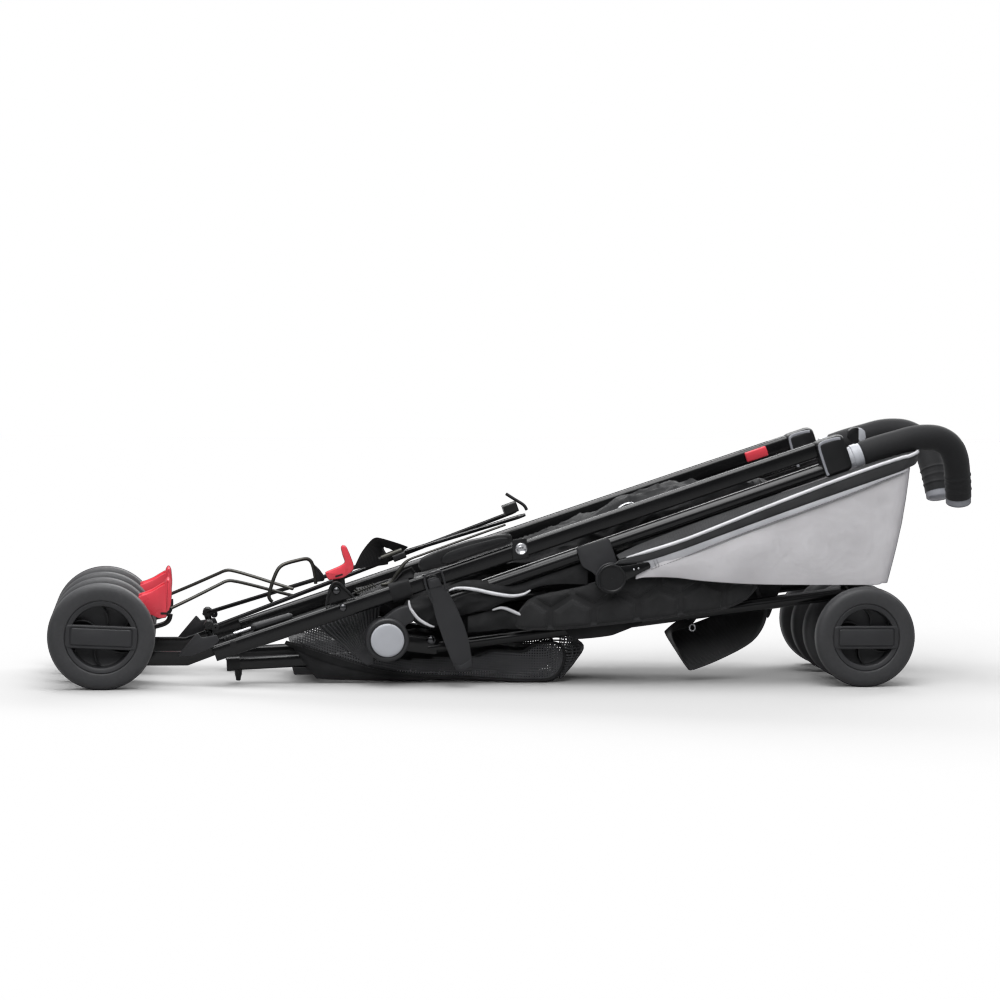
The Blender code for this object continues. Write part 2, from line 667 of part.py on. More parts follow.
def brake_pedal(side, name):
    """The red foot pedal that straddles the hub's ear."""
    px, pz = BRAKE_PIVOT
    outline = [(px - 0.011, pz - 0.006), (px - 0.012, pz + 0.012), (px - 0.0100, pz + 0.0210), (px + 0.006, pz + 0.0300),
               (px + 0.0215, pz + 0.0380), (px + 0.0225, pz + 0.020), (px + 0.0245, pz + 0.0020), (px + 0.014, pz - 0.008)]
    pedal = plate(outline, side * (UNIT_Y - BRAKE_WIDTH / 2), side * (UNIT_Y + BRAKE_WIDTH / 2))
    half = EAR_WIDTH / 2 + RUN
    slot = plate(arc(BRAKE_PIVOT, EAR_R + 0.0035, 0, 360, 16)[:-1], side * (UNIT_Y - half), side * (UNIT_Y + half))
    way = plate(strip(((px - 0.050, pz - 0.030), (px, pz)), 0.030), side * (UNIT_Y - half), side * (UNIT_Y + half))
    under = plate([(px - 0.02, pz), (px - 0.02, pz - 0.03), (px + 0.030, pz - 0.03), (px + 0.008, pz)],
                  side * (UNIT_Y - half), side * (UNIT_Y + half))
    finish_piece(cut(pedal, slot, way, under), "brake_pedal_" + name, "brake_" + name, RED_PLASTIC)


def side_tube(side, name):
    """The round tube under the main tube, from the hinge housing to the handle's connector."""
    y = side * SIDE_TUBE_Y
    tube = wire([at_y(SIDE_TUBE_FOOT, y), at_y(SIDE_TUBE_TOP, y)], SIDE_TUBE_R, TUBE_SIDES_RESOLUTION)
    finish_piece(tube, "side_tube_" + name, "frame_" + name, BLACK_STEEL)


def hinge_housing(side, name):
    """The round housing of the fold's hinge with the socket for the side tube."""
    y_in, y_out = side * HOUSING_IN_Y, side * HOUSING_OUT_Y
    disc = cylinder(at_y(HINGE, y_in), at_y(HINGE, y_out), HOUSING_R, 28)
    foot = Vector(SIDE_TUBE_FOOT)
    way = (Vector(SIDE_TUBE_TOP) - foot).normalized()
    reach = foot - way * GAP
    arm = plate(strip((HINGE, tuple(reach - way * 0.020), tuple(reach)), HOUSING_ARM), y_in, y_out - side * 0.004)
    cap = cylinder(at_y(HINGE, y_out - side * 0.001), at_y(HINGE, y_out + side * CAP_THICKNESS), CAP_R, 28)
    pin = cylinder(at_y(HINGE, side * (RAIL_Y - RAIL_SIDE / 2)), at_y(HINGE, y_in + side * 0.002), 0.005, 12)
    finish_piece(join(disc, arm, cap, pin), "hinge_housing_" + name, "frame_" + name, GREY_PLASTIC)


def front_leg(side, name):
    """The bracket on the hinge, the round leg and the socket for the caster's stem."""
    y = side * UNIT_Y
    half = side * FRONT_LEG_R
    proud = half + side * INSET
    eye = cylinder(at_y(HINGE, y - proud), at_y(HINGE, y + proud), 0.016, 20)
    slim = half - side * INSET
    arm = plate(strip((HINGE, (HINGE[0] + 0.020, HINGE[1] - 0.006), LEG_KNEE), 0.019), y - slim, y + slim)
    middle = stem_point((SOCKET_FROM + SOCKET_TO) / 2, side)
    start = (LEG_KNEE[0] - 0.012, y, LEG_KNEE[1] - 0.002)
    tube = cylinder(start, middle, FRONT_LEG_R, 12)
    socket = cylinder(stem_point(SOCKET_FROM, side), stem_point(SOCKET_TO, side), SOCKET_R, 16)
    bore = cylinder(stem_point(SOCKET_FROM - 0.01, side), stem_point(SOCKET_TO + 0.01, side), STEM_R + GAP, 12)
    hole = cylinder(at_y(HINGE, y - 2 * half), at_y(HINGE, y + 2 * half), 0.005 + GAP, 12)
    leg = cut(join(tube, arm, eye, socket), bore, hole)
    finish_piece(leg, "front_leg_" + name, "front_leg_" + name, BLACK_STEEL)


def caster(side, name):
    """The fork between the front wheels with its swivel stem."""
    z = front_wheel_z()
    low = (FRONT_WHEEL_X, z)
    shoulder = stem_point(SOCKET_FROM - RUN, side)
    knee = stem_point(SOCKET_FROM - 0.014, side)
    body = plate(strip((low, (knee.x - 0.004, knee.z - 0.006), (knee.x, knee.z)), 2 * FORK_R * 0.9),
                 side * (UNIT_Y - FORK_WIDTH / 2 + INSET), side * (UNIT_Y + FORK_WIDTH / 2 - INSET))
    foot = cylinder(at_y(low, side * (UNIT_Y - FORK_WIDTH / 2)), at_y(low, side * (UNIT_Y + FORK_WIDTH / 2)), FORK_R, 16)
    collar = cylinder(stem_point(SOCKET_FROM - 0.020, side), shoulder, SOCKET_R, 16)
    stem = cylinder(stem_point(SOCKET_FROM - 0.010, side), stem_point(SOCKET_TO + 0.004, side), STEM_R, 12)
    bore = cylinder((low[0], side * (UNIT_Y - 0.05), z), (low[0], side * (UNIT_Y + 0.05), z), AXLE_R + GAP, 12)
    fork = cut(join(body, foot, collar, stem), bore)
    finish_piece(fork, "caster_fork_" + name, "caster_" + name, GREY_PLASTIC)


def seat_rail(side, name):
    """The square tube that carries the seat's front edge, with its eye on the hinge pin."""
    y = side * RAIL_Y
    half = side * RAIL_SIDE / 2
    bar = box_bar(at_y(RAIL_END, y), at_y(RAIL_NEAR_HINGE, y), RAIL_SIDE, RAIL_SIDE, 0.0015)
    proud = half + side * INSET
    eye = cylinder(at_y(HINGE, y - proud), at_y(HINGE, y + proud), RAIL_EYE_R, 16)
    link = plate(strip((HINGE, (HINGE[0] + 0.002, RAIL_NEAR_HINGE[1])), 0.018), y - half + side * INSET,
                 y + half - side * INSET)
    hole = cylinder(at_y(HINGE, y - 2 * half), at_y(HINGE, y + 2 * half), 0.005 + GAP, 12)
    finish_piece(cut(join(bar, link, eye), hole), "seat_rail_" + name, "seat_rail_" + name, BLACK_STEEL)


def cross_bar(side, name):
    """One flat bar of the cross brace behind the seat."""
    a, b = brace_point(0, side), brace_point(BRACE_LENGTH, side)
    way = (b - a).normalized()
    wide = BRACE_NORMAL.cross(way)
    work = bmesh.new()
    bmesh.ops.create_cube(work, size=1.0)
    bmesh.ops.scale(work, vec=(BRACE_LENGTH, BRACE_WIDTH, BRACE_THICKNESS), verts=work.verts)
    turn = Matrix((way, wide, BRACE_NORMAL)).transposed().to_4x4()
    bmesh.ops.transform(work, matrix=Matrix.Translation((a + b) / 2) @ turn, verts=work.verts)
    mesh = bpy.data.meshes.new("cross")
    work.to_mesh(mesh)
    work.free()
    bar = bpy.data.objects.new("cross", mesh)
    parts.objects.link(bar)
    half = BRACE_NORMAL * (BRACE_THICKNESS / 2 - INSET)
    low_end = cylinder(a - half, a + half, BRACE_WIDTH / 2, 12)
    top_end = cylinder(b - half, b + half, BRACE_WIDTH / 2 * 1.3, 12)
    finish_piece(join(bar, low_end, top_end), "cross_bar_" + name, "cross_bar_" + name, BLACK_STEEL)


def link_rod(side, name):
    """The bent rod from a rear hub towards the middle."""
    layer = LINK_LAYER if side == LEFT else 0.0
    route = []
    for x, z in (LINK_FOOT, LINK_APEX, LINK_TIP):
        run = (x - LINK_FOOT[0]) * math.tan(LINK_TURN)
        route.append((x, side * (LINK_Y - run), z + layer))
    finish_piece(wire(route, LINK_R), "link_rod_" + name, "link_rod_" + name, BLACK_STEEL)


def handle_connector(side, name):
    """The shroud that holds the upper ends of both tubes and the grip's tube."""
    y = side * (CONNECTOR_IN_Y + CONNECTOR_OUT_Y) / 2
    start = tube_point(TUBE_LENGTH + GAP, -CONNECTOR_DROP, y)
    end = tube_point(TUBE_LENGTH + GAP + CONNECTOR_LENGTH, -CONNECTOR_DROP, y)
    block = box_bar(start, end, CONNECTOR_OUT_Y - CONNECTOR_IN_Y, CONNECTOR_DEPTH, 0.004)
    mouth, beyond = grip_route(side)[:2]
    way = (beyond - mouth).normalized()
    collar = cylinder(mouth - way * 0.034, mouth - way * GAP, COLLAR_R, 20)
    finish_piece(join(block, collar), "handle_connector_" + name, "frame_" + name, GREY_PLASTIC)


def grip_route(side):
    """The grip's centre line, from its mouth on the connector's collar."""
    return [Vector((TUBE_TOP_X + x, side * y, TUBE_TOP_Z + z)) for x, z, y in GRIP_FROM_TUBE_TOP]


def grip(side, name):
    """The curved foam grip, turned down and inwards at its end."""
    route = smooth_route(grip_route(side), 2)
    finish_piece(wire(route, GRIP_R, 3), "grip_" + name, "frame_" + name, GRIP_FOAM)


def hood_clamp(side, name):
    """The clamp on the tubes with the round disc that the hood's arm turns on."""
    clamp = plate(CLAMP_OUTLINE, side * CLAMP_IN_Y, side * CLAMP_OUT_Y)
    disc = cylinder(at_y(HOOD_PIVOT, side * (CLAMP_IN_Y + INSET)), at_y(HOOD_PIVOT, side * DISC_OUT_Y), DISC_R, 24)
    finish_piece(join(clamp, disc), "hood_clamp_" + name, "frame_" + name, GREY_PLASTIC)


def hood_arm(side, name):
    """The flat arm that swings the hood, outside its side panel."""
    inner = HOOD_WALL_Y + GAP
    outer = inner + HOOD_ARM_THICKNESS
    arm = plate(strip(HOOD_ARM_ROUTE, HOOD_ARM_WIDTH), side * (inner + INSET), side * (outer - INSET))
    eye = cylinder(at_y(HOOD_PIVOT, side * inner), at_y(HOOD_PIVOT, side * outer), 0.010, 16)
    finish_piece(join(arm, eye), "hood_arm_" + name, "hood_arm_" + name, BLACK_STEEL)


def billowed(side):
    """Sections of a hood panel that swells outwards between its lower edge and the arm."""
    start, end = HOOD_LOW[0][0], HOOD_LOW[2][0]

    def section(x, low, high, share):
        swell = HOOD_BILLOW * math.sin(math.pi * min(1.0, (x - start) / (end - start)))
        soft = max(high - low - HOOD_BAND, GAP)
        outer, inner = [], []
        for step in range(HOOD_STEPS + 1):
            rise = (high - low) * step / HOOD_STEPS
            bulge = swell * math.sin(math.pi * min(1.0, rise / soft)) ** 2
            outer.append((side * (HOOD_WALL_Y + bulge), low + rise))
            inner.append((side * (HOOD_WALL_Y - HOOD_WALL + bulge), low + rise))
        return outer + inner[::-1]
    return section


def hood_half(side, name):
    """One half of the hood: its side panel and half of the end wall."""
    panel = lofted(HOOD_LOW, HOOD_HIGH, HOOD_SECTIONS, billowed(side))
    reach = HOOD_WALL_Y - HOOD_WALL / 2
    y = side * (reach + GAP) / 2
    end = box_bar(at_y(HOOD_END_LOW, y), at_y(HOOD_END_TOP, y), reach - GAP, HOOD_WALL)
    finish_piece(join(panel, end), "hood_fabric_" + name, "frame_" + name, SILVER_FABRIC)


def fold_lever():
    """The red hook lever that frees the fold."""
    px, pz = LEVER_PIVOT
    outline = [(px - 0.0145, pz + 0.0050), (px - 0.010, pz - 0.0055), (px + 0.018, pz + 0.0040), (px + 0.0255, pz + 0.0110),
               (px + 0.0240, pz + 0.0180), (px + 0.0155, pz + 0.0370), (px + 0.0095, pz + 0.0350),
               (px + 0.0165, pz + 0.0160), (px + 0.0135, pz + 0.0110), (px - 0.003, pz + 0.0070)]
    outer = TUBE_Y - TUBE_WIDTH / 2 + LEVER_EAR_THICKNESS + RUN
    lever = plate(outline, -outer, -(outer + LEVER_THICKNESS))
    finish_piece(lever, "fold_lever", "fold_lever", RED_PLASTIC)


def release_loop():
    """The bent wire bail that stands on the right cross bar."""
    rise = BRACE_THICKNESS / 2 + LOOP_CLEAR
    start, end = LOOP_FOOT, LOOP_FOOT + LOOP_SPAN
    shape = [(start, 0), (start, 0.006), (start - 0.004, 0.014), (start + 0.006, 0.034), (start + 0.014, LOOP_HEIGHT),
             (end - 0.012, LOOP_HEIGHT), (end - 0.004, 0.033), (end, 0.008), (end, 0)]
    route = [brace_point(distance, RIGHT, rise + height) for distance, height in shape]
    finish_piece(wire(route, LOOP_WIRE_R), "release_loop", "release_loop", AXLE_STEEL)


def storage_clip():
    """The long clip that holds the folded frame together."""
    inner = HOUSING_OUT_Y + 0.002 + RUN
    clip = plate(CLIP_OUTLINE, -inner, -(inner + CLIP_THICKNESS))
    finish_piece(clip, "storage_clip", "storage_clip", GREY_PLASTIC)


def recline_button():
    """The red sliding button on the inner face of the left tube."""
    face = TUBE_Y - TUBE_WIDTH / 2 - RUN
    y = face - BUTTON_THICKNESS / 2
    middle = TUBE_LENGTH - BUTTON_FROM_TUBE_TOP
    button = box_bar(tube_point(middle - BUTTON_LENGTH / 2, 0, y), tube_point(middle + BUTTON_LENGTH / 2, 0, y),
                     BUTTON_THICKNESS, BUTTON_DEPTH, 0.001)
    finish_piece(button, "recline_button", "recline_button", RED_PLASTIC)


def channel_distance(x, rise):
    """How far a point of the quilting is from the nearest sewn line of its honeycomb."""
    row_pitch = QUILT_PITCH * math.sqrt(3) / 2
    centres = []
    for row in range(-1, 3):
        for column in range(-2, 7):
            shift = 0.5 if row % 2 == 0 else 0.0
            centres.append((QUILT_START + (column + shift) * QUILT_PITCH, QUILT_RISE + row * row_pitch))
    near, second = sorted(centres, key=lambda c: (c[0] - x) ** 2 + (c[1] - rise) ** 2)[:2]
    squares = [(c[0] - x) ** 2 + (c[1] - rise) ** 2 for c in (near, second)]
    return (squares[1] - squares[0]) / 2 / math.hypot(near[0] - second[0], near[1] - second[1])


def quilted(side):
    """Sections of the side flap: flat inside, crowned outside, thin at its bound edge and sewn lines."""
    def section(x, low, high, share):
        ends = math.sqrt(max(0.0, 1 - (2 * share - 1) ** 6))
        outer, inner = [], []
        for step in range(SIDE_PAD_STEPS + 1):
            way = 2 * step / SIDE_PAD_STEPS - 1
            rise = (high - low) * step / SIDE_PAD_STEPS
            swell = SIDE_PAD_CROWN * math.sqrt(1 - way ** 4) * ends
            near = max(0.0, 1 - channel_distance(x, rise) / CHANNEL_HALF_WIDTH)
            groove = min(CHANNEL_DEPTH * near, swell)
            outer.append((side * (SIDE_PAD_Y + SIDE_PAD_BINDING + swell - groove), low + rise))
            flat = SIDE_PAD_CROWN * min(1.0, 4 * math.sqrt(1 - way ** 4)) * ends
            inner.append((side * (SIDE_PAD_Y - SIDE_PAD_BINDING - flat), low + rise))
        return outer + inner[::-1]
    return section


def seat_side(side, name):
    """The quilted side flap of the seat."""
    flap = lofted(SIDE_PAD_LOW, SIDE_PAD_HIGH, SIDE_PAD_SECTIONS, quilted(side))
    finish_piece(flap, "seat_side_" + name, "frame_" + name, BLACK_FABRIC)


def seat_fabric():
    """The seat sling, gathered in folds between the tubes, with the carrying strap hanging under it."""
    folds = gathered(SEAT_HALF_WIDTH, SEAT_FOLDS, SEAT_FOLD_DEPTH, SEAT_RING)
    bundle = lofted(SEAT_LOW, SEAT_HIGH, SEAT_SECTIONS, folds)
    strap = plate(strip(STRAP_ROUTE, STRAP_THICKNESS), -STRAP_IN_Y - STRAP_WIDTH, -STRAP_IN_Y)
    finish_piece(join(bundle, strap), "seat_fabric", "seat_sling", BLACK_FABRIC)


def basket():
    """The shopping basket, gathered flat under the seat."""
    folds = gathered(BASKET_HALF_WIDTH, BASKET_FOLDS, BASKET_FOLD_DEPTH, BASKET_RING)
    bag = lofted(BASKET_LOW, BASKET_HIGH, BASKET_SECTIONS, folds)
    finish_piece(bag, "basket", "seat_sling", BLACK_FABRIC)


def build():
    make_pivots()
    for side, name in SIDE_NAMES.items():
        wheels(side, name)
        axle(REAR_WHEEL_X, rear_wheel_z(), side, "rear_axle_" + name, "frame_" + name)
        axle(FRONT_WHEEL_X, front_wheel_z(), side, "front_axle_" + name, "caster_" + name)
        main_tube(side, name)
        rear_leg(side, name)
        rear_hub(side, name)
        brake_pedal(side, name)
        side_tube(side, name)
        hinge_housing(side, name)
        front_leg(side, name)
        caster(side, name)
        seat_rail(side, name)
        cross_bar(side, name)
        link_rod(side, name)
        handle_connector(side, name)
        grip(side, name)
        hood_clamp(side, name)
        hood_arm(side, name)
        hood_half(side, name)
        seat_side(side, name)
    fold_lever()
    release_loop()
    storage_clip()
    recline_button()
    seat_fabric()
    basket()
    centre_on_origin()


def centre_on_origin():
    """Moves the pushchair so that the middle of its box is over the origin."""
    bpy.context.view_layer.update()
    reach = []
    for obj in parts.objects:
        if obj.type == "MESH":
            reach += [(obj.matrix_world @ Vector(corner)).x for corner in obj.bound_box]
    pivots["frame_right"][0].location.x -= (min(reach) + max(reach)) / 2


build()
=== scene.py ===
# %% [markdown]
# # A folded pushchair, dressed for its photograph
#
# The construction comes as a imported model: eight wheels, tubes, hinges, levers and plain solids for the
# cloth. This lesson keeps that frame where it is and gives each piece its visible surface. Every new
# piece is made in mesh code and takes a node material. Most ride on the body that carries them, so that
# the pushchair can still unfold; the hood's cloth, the seat's cloth, the basket and the seat's buckle ride on
# none.

# %% Load the frame
import json
from math import copysign, cos, exp, hypot, pi, radians, sin, sqrt, tan

import bmesh
import bpy
from mathutils import Matrix, Vector, noise


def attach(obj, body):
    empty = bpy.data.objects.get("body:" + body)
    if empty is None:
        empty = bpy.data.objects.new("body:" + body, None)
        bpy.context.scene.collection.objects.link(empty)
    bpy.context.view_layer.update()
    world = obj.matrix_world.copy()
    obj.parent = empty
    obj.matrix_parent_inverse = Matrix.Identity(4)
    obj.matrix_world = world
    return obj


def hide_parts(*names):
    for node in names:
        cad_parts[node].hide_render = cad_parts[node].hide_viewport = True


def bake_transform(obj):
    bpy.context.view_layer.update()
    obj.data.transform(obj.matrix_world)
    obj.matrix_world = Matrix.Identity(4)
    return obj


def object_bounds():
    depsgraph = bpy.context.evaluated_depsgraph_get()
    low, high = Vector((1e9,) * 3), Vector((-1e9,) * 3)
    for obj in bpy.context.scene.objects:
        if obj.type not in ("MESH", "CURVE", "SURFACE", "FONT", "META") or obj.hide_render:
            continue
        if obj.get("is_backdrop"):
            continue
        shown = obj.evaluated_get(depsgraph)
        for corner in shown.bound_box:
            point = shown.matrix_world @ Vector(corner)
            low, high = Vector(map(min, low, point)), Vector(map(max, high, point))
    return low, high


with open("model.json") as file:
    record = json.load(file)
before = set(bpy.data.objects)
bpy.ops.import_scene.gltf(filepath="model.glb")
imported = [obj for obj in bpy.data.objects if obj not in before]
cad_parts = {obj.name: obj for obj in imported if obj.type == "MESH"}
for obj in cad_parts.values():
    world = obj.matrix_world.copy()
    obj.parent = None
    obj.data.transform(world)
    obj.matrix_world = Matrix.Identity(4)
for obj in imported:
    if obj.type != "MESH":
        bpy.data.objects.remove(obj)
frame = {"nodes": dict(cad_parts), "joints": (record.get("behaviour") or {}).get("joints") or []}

scene = bpy.context.scene
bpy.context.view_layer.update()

# %% [markdown]
# ## Where things are
#
# Lengths below are metres, and the long tables of points are whole tenths of a millimetre. Places along X
# are written from the same point as the frame's drawing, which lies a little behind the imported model's
# origin. One joint that both know, the hinge of the front leg, gives the shift.

# %% Places on the pushchair
RIGHT, LEFT = -1, 1
NAMES = {RIGHT: "right", LEFT: "left"}
SIDES = [(side, side_name, "frame_" + side_name) for side, side_name in NAMES.items()]
HINGE_X, HINGE_Z = -0.1423, 0.056
joints = {joint["name"]: joint for joint in frame["joints"]}
BACK = joints["front_leg_right_swing"]["pos_m"][0] - HINGE_X


def at(x, y, z):
    """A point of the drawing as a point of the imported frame."""
    return Vector((x + BACK, y, z))


def drawn(*tenths, each=2):
    """Points of the drawing, written as whole tenths of a millimetre, two numbers or more for each."""
    metres = [number / 10000 for number in tenths]
    return [tuple(metres[i:i + each]) for i in range(0, len(metres), each)]


def level(line, y):
    """A line of x and z as points of the frame at one value of y."""
    return [at(x, y, z) for x, z in line]


def beside(centre, points):
    """Points given by how far they are from a centre."""
    return [(centre[0] + x, centre[1] + z) for x, z in points]


print("the drawing is shifted by", round(1000 * BACK, 2), "mm")

# %% [markdown]
# ## The camera
#
# The photograph looks almost square at the pushchair's right side, from a little above and a little
# behind. A long lens keeps the wheels round. The three angles were found by matching the wheels, tube
# ends and handles.

# %% Camera
CAMERA_AT = (-0.384, -3.772, 0.4695)
CAMERA_YAW, CAMERA_PITCH, CAMERA_ROLL = radians(5.82), radians(3.84), radians(0.5)
LENS, SENSOR = 112.68, 36.0

camera = bpy.data.objects.new("camera", bpy.data.cameras.new("camera"))
camera.data.lens = LENS
camera.data.sensor_width = SENSOR
ahead = Vector((sin(CAMERA_YAW), cos(CAMERA_YAW), 0))
up = Vector((0, 0, 1))
looking = ahead * cos(CAMERA_PITCH) - up * sin(CAMERA_PITCH)
rightward = Vector((cos(CAMERA_YAW), -sin(CAMERA_YAW), 0))
upward = ahead * sin(CAMERA_PITCH) + up * cos(CAMERA_PITCH)
across = rightward * cos(CAMERA_ROLL) + upward * sin(CAMERA_ROLL)
above = upward * cos(CAMERA_ROLL) - rightward * sin(CAMERA_ROLL)
camera.matrix_world = Matrix((across, above, -looking)).transposed().to_4x4()
camera.location = at(*CAMERA_AT)
scene.collection.objects.link(camera)
scene.camera = camera
print("camera", [round(c, 3) for c in camera.location])

# %% [markdown]
# ## Studio light and floor
#
# A product photograph like this one is lit by a large overhead panel, which draws the thin bright line
# along the top of each black tube, and by a softer light from the front. The floor only catches shadows,
# so it stays as pale as the backdrop. The sky seen by the camera is white. The sky that lights the scene
# is bright overhead and dark at the horizon, so that the upright faces of black pieces stay black.

# %% Light and floor
SKY_SEEN, SKY_HORIZON, SKY_ZENITH = 1.0, 0.07, 0.85
SKY_LOW, SKY_HIGH = 0.1, 0.9
SKY_TINT = (0.92, 0.94, 0.97, 1)
AIM = (0, 0, 0.1)
SOFTBOXES = (("overhead", (-0.3, -0.2, 1.9), (2.6, 1.0), 44),
             ("front_high", (-0.7, -2.0, 1.9), (2.2, 0.9), 27), ("behind", (0.6, 1.5, 1.3), (2.4, 0.6), 24))
FLOOR_SIZE, FLOOR_GREY, FLOOR_ROUGHNESS = 12.0, 0.3, 0.9


def softbox(name, place, size, watts):
    """A rectangular studio light at a place, aimed at the pushchair."""
    light = bpy.data.lights.new(name, "AREA")
    light.shape = "RECTANGLE"
    light.size, light.size_y = size
    light.energy = watts
    lamp = bpy.data.objects.new(name, light)
    lamp.location = place
    lamp.rotation_euler = (Vector(AIM) - Vector(place)).to_track_quat("-Z", "Y").to_euler()
    scene.collection.objects.link(lamp)


def studio_sky():
    """White where the camera sees it, and dark towards the horizon where it lights the pieces."""
    world = bpy.data.worlds.new("studio")
    world.use_nodes = True
    nodes, links = world.node_tree.nodes, world.node_tree.links
    light, seen = nodes["Background"], nodes.new("ShaderNodeBackground")
    light.inputs["Color"].default_value = SKY_TINT
    up = nodes.new("ShaderNodeSeparateXYZ")
    links.new(nodes.new("ShaderNodeTexCoord").outputs["Generated"], up.inputs[0])
    glow = nodes.new("ShaderNodeMapRange")
    for name, number in (("From Min", SKY_LOW), ("From Max", SKY_HIGH), ("To Min", SKY_HORIZON),
                         ("To Max", SKY_ZENITH)):
        glow.inputs[name].default_value = number
    links.new(up.outputs["Z"], glow.inputs["Value"])
    links.new(glow.outputs["Result"], light.inputs["Strength"])
    seen.inputs["Color"].default_value = (1, 1, 1, 1)
    seen.inputs["Strength"].default_value = SKY_SEEN
    ray, choice = nodes.new("ShaderNodeLightPath"), nodes.new("ShaderNodeMixShader")
    links.new(ray.outputs["Is Camera Ray"], choice.inputs[0])
    links.new(light.outputs[0], choice.inputs[1])
    links.new(seen.outputs[0], choice.inputs[2])
    links.new(choice.outputs[0], nodes["World Output"].inputs[0])
    scene.world = world


studio_sky()
for light in SOFTBOXES:
    softbox(*light)
scene.view_settings.view_transform = "Standard"

floor_mesh = bpy.data.meshes.new("floor")
reach = FLOOR_SIZE / 2
corners = [(-reach, -reach, 0), (reach, -reach, 0), (reach, reach, 0), (-reach, reach, 0)]
floor_mesh.from_pydata(corners, [], [(0, 1, 2, 3)])
floor = bpy.data.objects.new("floor", floor_mesh)
scene.collection.objects.link(floor)
floor.is_shadow_catcher = True
paving = bpy.data.materials.new("floor_grey")
paving.use_nodes = True
paving_inputs = paving.node_tree.nodes["Principled BSDF"].inputs
paving_inputs["Base Color"].default_value = (FLOOR_GREY, FLOOR_GREY, FLOOR_GREY, 1)
paving_inputs["Roughness"].default_value = FLOOR_ROUGHNESS
floor_mesh.materials.append(paving)
floor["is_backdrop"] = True

# %% [markdown]
# ## Finishes
#
# A finish is a Principled shader whose colour, roughness and relief vary a little across the surface. All
# of them read Object coordinates, which are metres here, so a grain of half a millimetre is half a
# millimetre everywhere. The helpers below each add one thing: a cloud of noise, a spread of values, a
# two-colour blend, and a relief.

# %% Material helpers
def new_finish(name, colour, roughness, metallic=0.0, **more):
    """A Principled material. More sockets are given by name, with _ for a space."""
    mat = bpy.data.materials.new(name)
    mat.use_nodes = True
    shader = mat.node_tree.nodes["Principled BSDF"]
    shader.inputs["Base Color"].default_value = (*colour, 1)
    shader.inputs["Roughness"].default_value = roughness
    shader.inputs["Metallic"].default_value = metallic
    for socket, value in more.items():
        shader.inputs[socket.replace("_", " ")].default_value = value
    return mat


def add(mat, kind, links=(), **settings):
    """A new node, its settings or plain inputs, and links from outputs to its inputs."""
    node = mat.node_tree.nodes.new("ShaderNode" + kind)
    for name, value in settings.items():
        if hasattr(node, name):
            setattr(node, name, value)
        else:
            node.inputs[name.replace("_", " ")].default_value = value
    for output, name in links:
        mat.node_tree.links.new(output, node.inputs[name])
    return node


def places(mat):
    return add(mat, "TexCoord").outputs["Object"]


def cloud(mat, size, detail=2.0, stretch=(1, 1, 1)):
    """Noise whose patches are about one size across, in metres."""
    spot = add(mat, "Mapping", [(places(mat), "Vector")])
    spot.inputs["Scale"].default_value = stretch
    return add(mat, "TexNoise", [(spot.outputs[0], "Vector")], Scale=1 / size, Detail=detail).outputs["Fac"]


def spread(mat, value, low, high, start=0.3, stop=0.7):
    """A value from start to stop, stretched to run from low to high."""
    node = add(mat, "MapRange", [(value, "Value")])
    for name, number in (("From Min", start), ("From Max", stop), ("To Min", low), ("To Max", high)):
        node.inputs[name].default_value = number
    return node.outputs["Result"]


def to_shader(mat, output, socket):
    mat.node_tree.links.new(output, mat.node_tree.nodes["Principled BSDF"].inputs[socket])


def uneven(mat, value, roughness, less, more):
    """Roughness that varies around its mean with a value."""
    to_shader(mat, spread(mat, value, roughness - less, roughness + more), "Roughness")


def two_tones(mat, share, first, second):
    """A base colour that goes from one tone to another."""
    blend = add(mat, "Mix", data_type="RGBA")
    mat.node_tree.links.new(share, blend.inputs[0])
    blend.inputs[6].default_value = (*first, 1)
    blend.inputs[7].default_value = (*second, 1)
    to_shader(mat, blend.outputs[2], "Base Color")


def relief(mat, heights):
    """Bumps from (height output, depth in metres) pairs, one on top of the other."""
    normal = None
    for height, depth in heights:
        bump = add(mat, "Bump", [(height, "Height")], Distance=depth, Strength=1.0)
        if normal:
            mat.node_tree.links.new(normal, bump.inputs["Normal"])
        normal = bump.outputs["Normal"]
    to_shader(mat, normal, "Normal")


def weave(mat, pitch):
    """The over and under of a plain weave, from sines across all three directions."""
    scaled = add(mat, "VectorMath", [(places(mat), 0)], operation="SCALE")
    scaled.inputs["Scale"].default_value = 2 * pi / pitch
    split = add(mat, "SeparateXYZ", [(scaled.outputs[0], 0)])
    waves = [add(mat, "Math", [(split.outputs[i], 0)], operation="SINE").outputs[0] for i in range(3)]
    pairs = [add(mat, "Math", [(waves[a], 0), (waves[b], 1)], operation="MULTIPLY").outputs[0]
             for a, b in ((0, 2), (0, 1), (1, 2))]
    total = add(mat, "Math", [(pairs[0], 0), (pairs[1], 1)], operation="ADD").outputs[0]
    return add(mat, "Math", [(total, 0), (pairs[2], 1)], operation="ADD").outputs[0]


print("finish helpers ready")

# %% [markdown]
# ## Paint, plastic, foam and metal
#
# The tubes carry smooth black paint with a faint orange peel. Plastic parts come from a mould that was
# sparked, so their gloss breaks up in a fine grain. Tyres and grips are closed-cell foam, matt and
# slightly mottled.

# %% Hard finishes
def painted(name, colour, roughness):
    mat = new_finish(name, colour, roughness, Specular_IOR_Level=0.32, Coat_Weight=0.2, Coat_Roughness=0.12)
    uneven(mat, cloud(mat, 0.04, 4), roughness, 0.05, 0.07)
    two_tones(mat, cloud(mat, 0.012), colour, tuple(1.5 * c for c in colour))
    relief(mat, [(cloud(mat, 0.0016), 0.000006)])
    return mat


